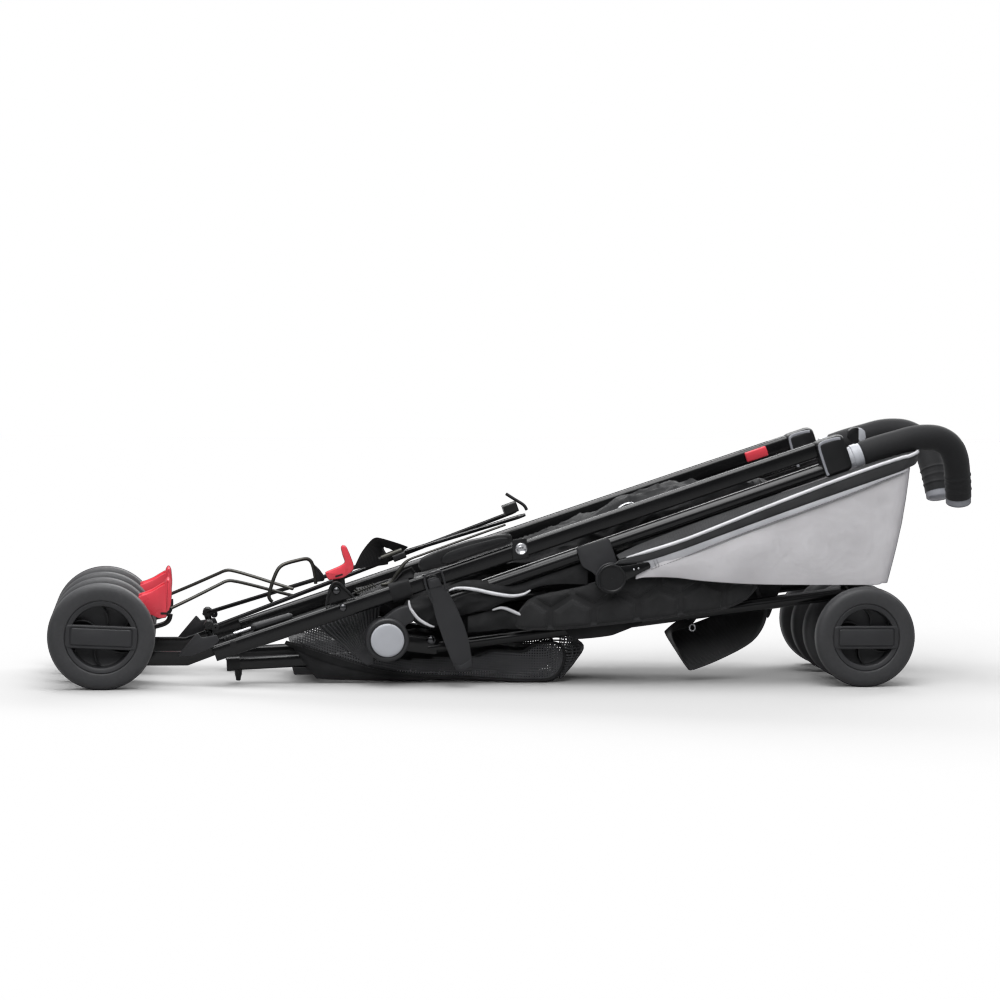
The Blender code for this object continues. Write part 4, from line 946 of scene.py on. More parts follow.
for side, side_name, body in SIDES:
    piece(f"handle_connector_{side_name}_shroud", skin(shroud_rows(side)), SATIN_BLACK, body,
          ["handle_connector_" + side_name])
    ribs = [trim_mesh(side, face) for face in (1, -1)]
    piece("handle_trim_" + side_name, merged(ribs), TRIM_GREY, body)
    piece("handle_collar_" + side_name, collar_mesh(side), CAP_SILVER, body)
print("grips are", round(2000 * GRIP_R), "mm thick")

# %% [markdown]
# ## The hood
#
# Folded, the hood is a shallow tray of silver cloth with a padded charcoal rim. White piping tops the
# rim, a satin ribbon covers the seam where the arm's sleeve is sewn, and the cloth turns a soft corner
# into the end wall. Each side makes its own half. Both halves reach right across, one just inside the
# other. The lines below are the sewn edges, from the photograph.

# %% The hood's sewn lines
HOOD_Y, HOOD_CORNER, HOOD_NEST = 0.112, 0.011, 0.0016
PIPING_LINE = drawn(
    1326, 1523, 1732, 1639, 2121, 1765, 2509, 1917, 3056, 2137, 3777, 2415, 4299, 2605, 4692, 2735,
    4930, 2807)
BAND_LINE = drawn(
    1260, 1464, 1605, 1495, 1992, 1613, 2382, 1755, 3058, 2003, 3649, 2214, 4302, 2441, 4700, 2580,
    4900, 2665)
SEAM_LINE = drawn(
    1700, 1400, 2124, 1560, 2512, 1722, 3059, 1931, 3650, 2145, 4172, 2340, 4460, 2455, 4720, 2555)
LOW_LINE = drawn(
    1516, 1290, 1645, 1312, 1996, 1306, 2388, 1262, 3069, 1225, 4256, 1219, 4454, 1226, 4573, 1240)
TOP_LINE = drawn(1530, 1480, 1992, 1613, 2382, 1755, 3058, 2003, 3649, 2214, 4302, 2441, 4825, 2620)
INNER_LINE = drawn(
    1294, 1560, 1580, 1695, 2058, 1880, 2538, 2054, 3138, 2262, 3800, 2480, 4300, 2650, 4800, 2800)
HOOD_BLEND_FROM = (0.3, 0.123)


def line_at(line, count):
    """Evenly spaced (x, z) points on a smooth curve through a line's points."""
    spots = smooth_route([Vector((x, 0, z)) for x, z in line], 6)
    return [(p.x, p.z) for p in resampled(spots, count)]


def wavy(spot, size, depth, seed=0.0):
    """A small push from noise, for cloth that isn't quite flat."""
    return depth * noise.noise(spot / size + Vector((seed, 2 * seed, -seed)))


def with_arm(side, part, mesh, finish, stands_for=()):
    """A piece of the hood, with its transform baked into its mesh."""
    side_name = NAMES[side]
    obj = piece(f"hood_{side_name}_{part}", mesh, finish, None, stands_for)
    start = at(HOOD_BLEND_FROM[0], side * HOOD_Y, HOOD_BLEND_FROM[1])
    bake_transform(obj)
    return obj


print("hood lines", len(PIPING_LINE), len(LOW_LINE))

# %% [markdown]
# ## Hood cloth
#
# The side panel is a grid between the lower edge and the rim. It billows a few millimetres, most in the
# middle, and noise adds the shallow waves of cloth under light tension. Past the corner the same rows run
# on across the end. A thin closed sheet, front and back, keeps the export free of one-sided faces.

# %% Hood cloth
SIDE_STEPS, CORNER_STEPS, END_STEPS, RISE_STEPS = 80, 8, 44, 30
CLOTH = 0.0007
HOOD_SWELL = 0.0034


def hood_path(low, top, end_low, end_top, side, nest):
    """Rows of one half, from the tip along the side, round the corner and across the end wall."""
    rows = []
    wall = HOOD_Y - nest
    for (xl, zl), (xt, zt) in zip(low, top):
        rows.append([(xl, side * wall, zl), (xt, side * wall, zt)])
    (xl, zl), (xt, zt) = end_low, end_top
    for k in range(1, CORNER_STEPS + 1):
        angle = radians(90 * k / CORNER_STEPS)
        ahead, inwards = HOOD_CORNER * sin(angle), HOOD_CORNER * (1 - cos(angle))
        rows.append([(xl - HOOD_CORNER + ahead, side * (wall - inwards), zl),
                     (xt - HOOD_CORNER + ahead, side * (wall - inwards), zt)])
    span = 2 * (HOOD_Y - HOOD_CORNER - 0.004)
    for k in range(1, END_STEPS + 1):
        share = k / END_STEPS
        y = side * (wall - HOOD_CORNER - span * share)
        sag = 0.003 * sin(pi * share)
        rows.append([(xl, y, zl + 2 * sag), (xt, y, zt - sag * 0.5)])
    return rows


def shell(front, thickness):
    """A closed thin sheet from a grid of points, thickened square to itself."""
    count = len(front[0])
    back = []
    for i, row in enumerate(front):
        line = []
        for k, spot in enumerate(row):
            along = front[min(i + 1, len(front) - 1)][k] - front[max(i - 1, 0)][k]
            over = row[min(k + 1, count - 1)] - row[max(k - 1, 0)]
            line.append(spot + along.cross(over).normalized() * thickness)
        back.append(line)
    return skin([row + other[::-1] for row, other in zip(front, back)])


def hood_panel(side):
    """The silver cloth of one half: side, corner and end wall, swollen and wavy."""
    nest = 0.0 if side == RIGHT else HOOD_NEST
    low, top = line_at(LOW_LINE, SIDE_STEPS), line_at(TOP_LINE, SIDE_STEPS)
    before = [i for i in range(SIDE_STEPS)
              if max(low[i][0] - low[-1][0], top[i][0] - top[-1][0]) < -HOOD_CORNER]
    last = before[-1]
    rows = hood_path(low[:last + 1], top[:last + 1], (low[-1][0] - nest, low[-1][1]),
                     (top[-1][0] - nest, top[-1][1]), side, nest)
    front = []
    for i, ((xl, yl, zl), (xt, yt, zt)) in enumerate(rows):
        share = min(1.0, i / last)
        line = []
        for k in range(RISE_STEPS + 1):
            v = k / RISE_STEPS
            spot = at(xl + (xt - xl) * v, yl + (yt - yl) * v, zl + (zt - zl) * v)
            bulge = HOOD_SWELL * sin(pi * v) ** 0.8 * sin(pi * min(share, 0.985)) ** 0.6
            bulge += wavy(Vector((spot.x, 0.4 * spot.z, spot.y)), 0.045, 0.0016) * sin(pi * v)
            bulge += wavy(spot, 0.016, 0.0004, 3.0) * sin(pi * v)
            if i <= last:
                spot.y += side * bulge
            else:
                spot.x += bulge * 0.9 + 0.0026 * sin(pi * v)
            line.append(spot)
        front.append(line)
    return shell(front, CLOTH * side)


for side, side_name, body in SIDES:
    panel = with_arm(side, "panel", hood_panel(side), SILVER_CLOTH, ["hood_fabric_" + side_name])
print("hood panel", len(panel.data.vertices), "points")

# %% [markdown]
# ## Hood rim, piping and ribbon
#
# The rim is a padded band: a swept flat section with soft edges. A second band leans inwards above the
# piping. The piping is a cord in a sleeve, and the ribbon a thin satin tape. All of them turn the corner
# on a wider curve than the cloth, which is why the rim stands a little proud of the end wall in the
# photograph.

# %% Hood rim
def rim_route(line, side, y, corner, count=70, stop_short=0.006):
    """A line along the side, round the corner and across the end, as even points of the frame."""
    points = line_at(line, count)
    end_x, end_z = points[-1]
    route = level([p for p in points if p[0] < end_x - corner], side * y)
    for k in range(1, CORNER_STEPS + 1):
        angle = radians(90 * k / CORNER_STEPS)
        x = end_x - corner + corner * sin(angle)
        z = end_z - corner * 0.35 * (1 - sin(angle))
        route.append(at(x, side * (y - corner * (1 - cos(angle))), z))
    for k in range(1, 13):
        share = k / 12
        route.append(at(end_x, side * (y - corner - (2 * (y - corner) - stop_short) * share),
                        end_z - 0.004 * sin(pi * share)))
    return resampled(route, RIM_POINTS)


def tape(upper, lower, thickness, crown=0.0, steps=6):
    """A closed band between two routes, crowned across its width."""
    rows, outward = [], []
    for i in range(len(upper)):
        along = upper[min(i + 1, len(upper) - 1)] - upper[max(i - 1, 0)]
        outward.append(along.cross(upper[i] - lower[i]).normalized())
    for a, b, out in zip(upper, lower, outward):
        front, back = [], []
        for k in range(steps + 1):
            v = k / steps
            round_edge = sqrt(max(0.0, 1 - (2 * v - 1) ** 4))
            middle = a.lerp(b, v)
            front.append(middle + out * (thickness / 2 * (0.25 + 0.75 * round_edge) + crown * round_edge))
            back.append(middle - out * thickness / 2 * (0.25 + 0.75 * round_edge))
        rows.append(front + back[::-1])
    return skin(rows)


RIM_NEST, RIM_TURN, RIM_POINTS, INNER_IN = 0.0034, 0.018, 150, 0.012
for side, side_name, body in SIDES:
    nest = 0.0 if side == RIGHT else RIM_NEST
    y = HOOD_Y + 0.0006 - nest
    piping = rim_route(PIPING_LINE, side, y, RIM_TURN)
    band_low = rim_route(BAND_LINE, side, y, RIM_TURN)
    inner = rim_route(INNER_LINE, side, HOOD_Y - INNER_IN - nest, RIM_TURN)
    band_top = [p.lerp(q, 0.1) for p, q in zip(piping, band_low)]
    band = tape(band_top, band_low, 0.0034 * side, 0.001 * side)
    with_arm(side, "rim", band, BINDING)
    lean = tape(inner, [p.lerp(q, 0.06) for p, q in zip(piping, inner)], 0.0026 * side, 0.0016 * side)
    with_arm(side, "inner_rim", lean, BINDING)
    cord = swept([p + Vector((0, side * 0.0006, 0.0003)) for p in piping[2:]], round_section(0.0021, 14),
                 lambda share: min(1.0, 0.35 + share * 14))
    with_arm(side, "piping", cord, PIPING)
print("rim of", round(1000 * sum((b - a).length for a, b in zip(piping, piping[1:]))), "mm")

# %% Hood ribbon and stitches
THREAD_R, TACKS = 0.00028, (0.1755, 0.179)


def stitches(route, length, gap, radius, lift):
    """A row of thread dashes along a route, lifted off the cloth."""
    total = sum((b - a).length for a, b in zip(route, route[1:]))
    count = max(2, int(total / (length + gap)))
    marks = resampled(route, count * 4 + 1)
    dashes = []
    for k in range(count):
        a, b = marks[4 * k] + lift, marks[4 * k + 3] + lift
        dashes.append(swept([a, a.lerp(b, 0.3) + lift * 0.4, a.lerp(b, 0.7) + lift * 0.4, b],
                            round_section(radius, 6), side_way=Vector((0.1, 1, 0.2))))
    return merged(dashes)


for side, side_name, body in SIDES:
    nest = 0.0 if side == RIGHT else HOOD_NEST
    proud = HOOD_Y + 0.0009 - nest
    top = [at(x, side * (proud + 0.0014 * sin(pi * k / 90)), z)
           for k, (x, z) in enumerate(line_at(BAND_LINE, 91)[8:88])]
    low = [at(x, side * (proud + 0.0028 * sin(pi * k / 90)), z)
           for k, (x, z) in enumerate(line_at(SEAM_LINE, 80))]
    ribbon = tape(top, low, 0.001 * side, 0.0004 * side, 4)
    with_arm(side, "ribbon", ribbon, RIBBON)
    lift = Vector((0, side * 0.0007, 0))
    rows = [stitches([p + Vector((0, 0, 0.0007)) for p in low], 0.0026, 0.0012, THREAD_R, lift)]
    for x in TACKS:
        drop = (x - 0.17) * 0.35
        tack = level(((x, 0.142 + drop), (x - 0.0035, 0.15 + drop)), side * (proud + 0.0012))
        rows.append(stitches(tack, 0.0016, 0.0009, THREAD_R, lift))
    with_arm(side, "stitches", merged(rows), THREAD)
print("ribbon and stitches sewn")

# %% [markdown]
# ## Hood arm and clamp
#
# The arm is a flat black plate that comes out of the round disc and slides into the ribbon's sleeve. Only
# its first part shows. A disc with a raised rim caps the joint, and a clamp holds the whole to the round
# tube.

# %% Hood arm, disc and clamp
HOOD_PIVOT = (0.1225, 0.13)
CLAMP_IN, CLAMP_OUT = 0.1014, 0.1068
ARM_IN, ARM_OUT, ARM_RIVETS = 0.1122, 0.1146, ((0.149, 0.1405), (0.1545, 0.1418))
ARM_PLATE = drawn(
    1180, 1380, 1280, 1440, 1407, 1452, 1669, 1500, 1698, 1427, 1421, 1286, 1330, 1235, 1200, 1215)
DISC_PROFILE = drawn(
    2, 1151, 162, 1151, 168, 1157, 168, 1172, 162, 1179, 152, 1180, 144, 1175, 139, 1166, 60, 1165, 2, 1166)
CLAMP_OUTLINE = drawn(
    805, 1655, 1200, 1780, 1290, 1520, 1330, 1440, 1250, 1240, 1100, 1200, 1030, 1350, 880, 1430)


def rivet(x, z, y, side, radius, height=0.0009, steps=24):
    """A small domed head that stands on a face at the given y."""
    dome = [(0.0001, y - 0.001), (radius, y - 0.001), (radius, y + 0.2 * height),
            (radius * 0.86, y + 0.62 * height), (radius * 0.55, y + 0.9 * height), (0.0001, y + height)]
    return turned(dome, x, z, side, steps)


for side, side_name, body in SIDES:
    arm_body = "hood_arm_" + side_name
    arm = plate(rounded(ARM_PLATE, 0.003), side * ARM_IN, side * ARM_OUT)
    piece(f"hood_arm_{side_name}_plate", arm, BLACK_PAINT, arm_body, [arm_body])
    piece("hood_disc_" + side_name, turned(DISC_PROFILE, *HOOD_PIVOT, side, 72), SATIN_BLACK, arm_body)
    heads = [rivet(x, z, ARM_OUT, side, 0.0012) for x, z in ARM_RIVETS]
    piece("hood_rivets_" + side_name, merged(heads), BRIGHT_STEEL, arm_body)
    hub = turned(drawn(10, 1016, 176, 1016, 182, 1022, 182, 1104, 176, 1110, 10, 1110), *HOOD_PIVOT, side, 72)
    clamp = plate(rounded(CLAMP_OUTLINE, 0.005), side * CLAMP_IN, side * CLAMP_OUT, 0.0012)
    piece(f"hood_clamp_{side_name}_block", merged([clamp, hub]), DARK_GREY, body, ["hood_clamp_" + side_name])
print("hood arms and clamps ready")

# %% [markdown]
# ## Quilted side flaps
#
# The flap is padded cloth sewn in a honeycomb, with two rows of stitches along each line. A sewn line
# pulls the padding flat, so the height at a point comes from its distance to the nearest line. The same
# distance places the thread. A bound edge runs along the bottom and up the right end.

# %% Quilting
FLAP_Y, FLAP_CROWN = 0.0944, 0.0058
FLAP_LOW = drawn(
    100, 740, 191, 690, 554, 681, 841, 702, 1134, 731, 1597, 780, 1837, 810, 2198, 862, 2560, 912,
    2741, 975, 2885, 1060, 2980, 1175)
FLAP_HIGH = drawn(
    100, 800, 200, 955, 330, 1060, 690, 1140, 880, 1180, 1250, 1290, 1700, 1330, 2450, 1240, 2850, 1215,
    2980, 1200)
CELL, CELL_START, CELL_RISE = 0.052, 0.104, 0.008
SEAM_HALF = 0.003
FLAP_COLUMNS, FLAP_ROWS = 280, 60


def to_sewn_line(x, rise):
    """The distance from a point of the flap to the nearest line of its honeycomb."""
    centres = []
    for row in range(-1, 3):
        for column in range(-2, 7):
            centres.append((CELL_START + (column + (0.5 if row % 2 == 0 else 0.0)) * CELL,
                            CELL_RISE + row * CELL * sqrt(3) / 2))
    near, second = sorted(centres, key=lambda c: (c[0] - x) ** 2 + (c[1] - rise) ** 2)[:2]
    a, b = ((c[0] - x) ** 2 + (c[1] - rise) ** 2 for c in (near, second))
    return (b - a) / 2 / hypot(near[0] - second[0], near[1] - second[1])


def flap_point(x, z_low, z_high, share, v, side):
    """A point of the flap's outer face, v of the way up: crowned, pulled in along the sewn lines."""
    rise = (z_high - z_low) * v
    ends = sqrt(max(0.0, 1 - (2 * share - 1) ** 10))
    swell = FLAP_CROWN * sqrt(max(0.0, 1 - (2 * v - 1) ** 8)) * ends
    away = to_sewn_line(x, rise)
    pull = max(0.0, 1 - max(0.0, away - SEAM_HALF * 0.5) / 0.0085)
    ditch = 0.0009 * exp(-((away - SEAM_HALF) / 0.0008) ** 2)
    swell -= min(swell * 0.8, 0.0034 * pull ** 1.6 + ditch)
    swell += wavy(Vector((x, rise, 0)), 0.012, 0.0005) * ends
    return at(x, side * (FLAP_Y + 0.0015 + max(0.0, swell)), z_low + rise)


def by_x(line, count):
    """Points of a line at even steps of x."""
    spots = line_at(line, 240)
    x_from, x_to = spots[0][0], spots[-1][0]
    made, i = [], 0
    for k in range(count):
        x = x_from + (x_to - x_from) * k / (count - 1)
        while i < len(spots) - 2 and spots[i + 1][0] < x:
            i += 1
        (xa, za), (xb, zb) = spots[i], spots[i + 1]
        share = min(1.0, max(0.0, (x - xa) / max(1e-9, xb - xa)))
        made.append((x, za + (zb - za) * share))
    return made


def between(low_line, high_line, count):
    """Even steps of x with the heights of two lines there: (x, low, high)."""
    return [(x, low, high) for (x, low), (_, high) in zip(by_x(low_line, count), by_x(high_line, count))]


for side, side_name, body in SIDES:
    rows = []
    for i, span in enumerate(between(FLAP_LOW, FLAP_HIGH, FLAP_COLUMNS)):
        share, (x, z_low, z_high) = i / (FLAP_COLUMNS - 1), span
        outer = [flap_point(*span, share, k / FLAP_ROWS, side) for k in range(FLAP_ROWS + 1)]
        inner = [at(x, side * (FLAP_Y - 0.006), z_low + (z_high - z_low) * k / 6) for k in range(7)]
        rows.append(outer + inner[::-1])
    flap = piece(f"seat_side_{side_name}_quilt", skin(rows), QUILT_CLOTH, body,
                 ["seat_side_" + side_name], sharp=60)
    edge = [at(x, side * (FLAP_Y - 0.001), z + 0.0022) for x, z in line_at(FLAP_LOW, 60)]
    bound = swept(edge, box_section(0.0076, 0.0078, 0.003, 4))
    piece("flap_binding_" + side_name, bound, BINDING, body)
    thread = [p + Vector((0, side * 0.0039, 0.0018)) for p in edge]
    sewn = stitches(thread, 0.003, 0.0016, 0.0003, Vector((0, side * 0.0001, 0)))
    piece("flap_stitches_" + side_name, sewn, THREAD, body)
print("quilted flaps", FLAP_COLUMNS * FLAP_ROWS, "cells of cloth")

# %% [markdown]
# ## The folded seat
#
# Folding gathers the seat's cloth into a bundle of long creases between the tubes. A simulation of that
# much cloth would take longer than the rest of the scene, so the creases come from ridged noise: the
# noise's zero lines become sharp crests and everything else sinks between them. Stretching the noise
# along the tubes gives the folds their run.

# %% Seat bundle
SEAT_HALF = 0.0786
SEAT_LOW = drawn(-1700, 990, -1150, 872, 200, 965, 1500, 1065, 2900, 1320, 3250, 1720, 3400, 2070)
SEAT_HIGH = drawn(
    -1700, 1015, -1000, 1270, 250, 1670, 1100, 2040, 1800, 2330, 2120, 2400, 2500, 2440, 2900, 2520,
    3300, 2400, 3400, 2200)
SEAT_ROWS, SEAT_RING, CREASE_ANGLE = 170, 168, 70
FOLDS = (0.12, 0.03, 0.012)
WRINKLES = (0.034, 0.016, 0.0034)


def squared(value, power):
    """A sine or cosine pushed out towards a square."""
    return copysign(abs(value) ** power, value)


def sunk(spot, run, size, depth, seed):
    """How far cloth sinks between sharp crests: their run along X, their size across it and their depth."""
    place = Vector((spot.x / run + seed, (spot.y + 0.35 * spot.x) / size, (spot.z - 0.34 * spot.x) / size))
    return depth * min(1.0, 2.4 * abs(noise.noise(place))) ** 0.75


def folded_ring(x, low, high, half, ring, depth, seed=0.0):
    """One section of a gathered bundle, creased inwards from a squarish outline."""
    middle, tall = (low + high) / 2, (high - low) / 2
    row = []
    for k in range(ring):
        angle = 2 * pi * k / ring
        u, v = squared(cos(angle), 0.62), squared(sin(angle), 0.72)
        spot = Vector((x, u * half, middle + v * tall))
        inwards = Vector((0, -u * half, -v * tall * 1.6)).normalized()
        room = min(1.0, tall / 0.022) * depth
        sink = sunk(spot, *FOLDS, seed) + sunk(spot, *WRINKLES, seed + 5)
        spot += inwards * min(sink * room, 0.6 * tall)
        row.append(at(spot.x, spot.y, spot.z))
    return row


def bundled(low_line, high_line, count, half, ring, depth, seed=0.0):
    """A closed bundle of cloth between two lines of x and z."""
    spans = between(low_line, high_line, count)
    return skin([folded_ring(x, low, high, half, ring, depth, seed) for x, low, high in spans])


def across(obj, half=SEAT_HALF):
    """Cloth from side to side, with its transform baked into its mesh."""
    at(0, half, 0.1)
    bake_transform(obj)
    return obj


bundle = bundled(SEAT_LOW, SEAT_HIGH, SEAT_ROWS, SEAT_HALF, SEAT_RING, 1.0)
bundle = across(piece("seat_bundle", bundle, BLACK_CLOTH, None, ["seat_fabric"], sharp=CREASE_ANGLE))
print("seat bundle", len(bundle.data.vertices), "points")

LINING_HALF, LINING_ROWS, LINING_RING = 0.042, 80, 96
LINING_LOW = drawn(-860, 600, -575, 470, -274, 480, 329, 550, 600, 650, 840, 860)
LINING_HIGH = drawn(-860, 640, -700, 850, -274, 905, 329, 950, 700, 975, 840, 900)
lining = bundled(LINING_LOW, LINING_HIGH, LINING_ROWS, LINING_HALF, LINING_RING, 0.5)
lining = across(piece("seat_lining", lining, LINING_CLOTH, None, sharp=CREASE_ANGLE))

# %% [markdown]
# ## The carrying strap
#
# A wide strap hangs under the seat. It turns back on itself at one end and opens towards the other, so
# neither a flat plate nor a plain sweep gives it. A ruled band does: two edge curves, near and far, with
# straight lines between them. The near edge is bound with a thicker tape that catches the light.

# %% Strap
STRAP_NEAR_Y, STRAP_FAR_Y = -0.06, -0.024
STRAP_NEAR = drawn(
    2500, 1060, 2379, 842, 2266, 677, 2138, 630, 2042, 590, 2060, 491, 2142, 340, 2210, 205, 2262, 140,
    2339, 162, 2533, 236, 2728, 327, 2898, 417, 3031, 514, 3127, 646, 3176, 792, 3170, 913, 3110, 1010,
    3000, 1300)
STRAP_FAR = drawn(
    2560, 1380, 2400, 1060, 2291, 878, 2193, 729, 2084, 640, 2030, 592, 2012, 573, 2008, 560, 2030, 550,
    2146, 590, 2392, 676, 2612, 762, 2808, 847, 2955, 932, 3053, 1007, 3126, 1068, 3165, 1118, 3180, 1171,
    3060, 1420)
near_edge = smooth_route(level(STRAP_NEAR, STRAP_NEAR_Y))
far_edge = smooth_route(level(STRAP_FAR, STRAP_FAR_Y))
piece("carry_strap", tape(near_edge, far_edge, 0.0018, 0.0, 10), WEBBING, "seat_sling")
STRAP_TURN = 52
bound = swept(near_edge[STRAP_TURN:], box_section(0.0024, 0.0048, 0.001, 3),
              lambda share: 0.35 + 0.65 * share)
piece("carry_strap_binding", bound, BINDING, "seat_sling")
STRAP_ROOT_TOP = ((0.296, 0.129), (0.34, 0.129))
STRAP_ROOT_LOW = drawn(2960, 1010, 3160, 890, 3215, 760, 3290, 930, 3400, 1190)
front = []
for x, z_low, z_top in between(STRAP_ROOT_LOW, STRAP_ROOT_TOP, 30):
    heights = [z_low + (z_top - z_low) * k / 12 for k in range(13)]
    front.append([at(x, STRAP_NEAR_Y + 0.006 + wavy(Vector((x, z, 0)), 0.02, 0.003), z) for z in heights])
piece("strap_root", shell(front, 0.001), LINING_CLOTH, "seat_sling")
strap_length = sum((b - a).length for a, b in zip(near_edge, near_edge[1:]))
print("strap edge", round(1000 * strap_length), "mm")

# %% [markdown]
# ## Basket: nets that are really nets
#
# The shopping basket hangs flat under the seat, a dark bag between two side nets. A net drawn in a bump
# map would stay opaque, but here daylight shows through the end of it. So each net is a grid of cells:
# every face is inset, its middle is deleted, and what is left is thickened into thread. Rows follow the
# hem, as the real cloth's do.

# %% Net making
NET_PITCH, NET_THREAD = 0.0031, 0.00075


def knotted(cells, spots, thickness=0.0005):
    """A net: the outline of every cell as flat thread, thickened."""
    work = bmesh.new()
    made = {key: work.verts.new(spot) for key, spot in spots.items()}
    faces = [work.faces.new([made[key] for key in cell]) for cell in cells]
    bmesh.ops.recalc_face_normals(work, faces=work.faces)
    inner = bmesh.ops.inset_individual(work, faces=faces, thickness=NET_THREAD, use_even_offset=True)
    bmesh.ops.delete(work, geom=faces, context="FACES")
    bmesh.ops.delete(work, geom=[v for v in work.verts if not v.link_faces], context="VERTS")
    bmesh.ops.solidify(work, geom=work.faces[:], thickness=thickness)
    bmesh.ops.recalc_face_normals(work, faces=work.faces)
    mesh = bpy.data.meshes.new("net")
    work.to_mesh(mesh)
    work.free()
    print("  net of", len(cells), "cells and", len(inner["faces"]), "threads")
    return mesh


def hung_net(low_line, high_line, place, skip=None):
    """A net between two lines. place(x, z) gives its point in space, and skip(x, z) leaves a cell out."""
    spans = between(low_line, high_line, int((low_line[-1][0] - low_line[0][0]) / NET_PITCH) + 1)
    spots, cells = {}, []
    for i, (x, z_low, z_high) in enumerate(spans):
        for j in range(int((z_high - z_low) / NET_PITCH) + 1):
            spots[i, j] = place(x, z_low + j * NET_PITCH)
    for i, j in list(spots):
        cell = [(i, j), (i + 1, j), (i + 1, j + 1), (i, j + 1)]
        x, z_low, _ = spans[i]
        if all(key in spots for key in cell) and not (skip and skip(x, z_low + j * NET_PITCH)):
            cells.append(cell)
    used = {key for cell in cells for key in cell}
    return knotted(cells, {key: spots[key] for key in used})


print("net pitch", 1000 * NET_PITCH, "mm")

# %% Basket lines
NET_Y, HINGE_HOLE = 0.0643, 0.0085
NET_LOW = drawn(
    -2560, 500, -2314, 425, -2097, 350, -1865, 280, -1661, 215, -1403, 165, -1087, 110, -607, 85, -100, 50,
    300, 28, 560, 40, 700, 160)
NET_HIGH = drawn(
    -2560, 515, -2484, 560, -2319, 640, -2190, 680, -2000, 510, -1800, 370, -1600, 290, -1087, 300,
    -607, 330, -345, 325, -105, 400, 229, 384, 345, 455, 593, 483, 700, 425)
HEM_TOP = drawn(
    -2600, 512, -2314, 432, -2067, 352, -1864, 287, -1577, 203, -1230, 138, -967, 108, -403, 85, 100, 52,
    300, 44, 500, 50, 610, 90, 700, 195)
HEM_LOW = drawn(
    -2620, 470, -2314, 332, -2067, 236, -1864, 182, -1577, 122, -1230, 78, -967, 52, -403, 36, 100, 12,
    300, 10, 520, 12, 640, 56, 725, 176)
BOTTOM = drawn(-2500, 405, -2376, 232, -2257, 84, -2200, 60, -1807, 40, -1400, 34, -967, 30)
RIM = drawn(
    -345, 325, -230, 365, -105, 397, 80, 385, 229, 381, 345, 455, 470, 480, 593, 483, 690, 440, 730, 370,
    734, 306, 715, 215, 660, 110)
FAN = (-0.1578, 0.017)
FAN_FROM, FAN_TO, FAN_STEPS, PLEATS = radians(38), radians(97), 14, 17


def with_rail(side, part, mesh, finish, sharp=38):
    """A piece of the basket, with its transform baked into its mesh."""
    side_name = NAMES[side]
    obj = piece(f"basket_{part}_{side_name}", mesh, finish, sharp=sharp)
    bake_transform(obj)
    return obj


def fan_mesh(side):
    """Gathered net that spreads like a fan from the hem up to the tube."""
    rows, steps = [], PLEATS * 8
    rise = (FAN[0] - TUBE_FOOT[0]) * tan(TUBE_SLOPE)
    under_tube = TUBE_FOOT[1] - 0.01 / cos(TUBE_SLOPE) + rise - FAN[1] - 0.0008
    for i in range(steps + 1):
        angle = FAN_FROM + (FAN_TO - FAN_FROM) * i / steps
        line = []
        for k in range(FAN_STEPS + 1):
            share = k / FAN_STEPS
            reach = under_tube / (sin(angle) + cos(angle) * tan(TUBE_SLOPE))
            r = 0.006 + (reach - 0.006) * share
            fold = abs(((i / 8) % 1.0) * 2 - 1) - 0.5
            depth = 0.0034 * min(1.0, share * 1.5) * (1.0 if angle < 1.3 else 0.5)
            y = side * (NET_Y + 0.0008 + fold * depth)
            spot = at(FAN[0] - r * cos(angle), y, FAN[1] + r * sin(angle))
            line.append(spot + Vector((0.0006 * noise.noise(spot / 0.008), 0, 0)))
        rows.append(line)
    return shell(rows, 0.0004)


def cloth_between(low_line, high_line, place, columns, steps, thickness):
    """A closed thin sheet between two lines of x and z. place(x, z, share up) gives its points."""
    rows = []
    for x, z_low, z_high in between(low_line, high_line, columns):
        rows.append([place(x, z_low + (z_high - z_low) * k / steps, k / steps) for k in range(steps + 1)])
    return shell(rows, thickness)


def waved(side, out, bow, size, depth):
    """Places for a hung cloth: out from the middle by out or out(x, share up), bowed and with waves."""
    def place(x, z, v):
        y = (out(x, v) if callable(out) else out) + bow * sin(pi * v)
        return at(x, side * (y + wavy(Vector((x, z, side)), size, depth)), z)
    return place


def clipped(line, start, stop):
    """The part of a line between two values of x."""
    return [p for p in by_x(line, 60) if start <= p[0] <= stop]


print("basket lines", len(HEM_TOP), len(HEM_LOW))

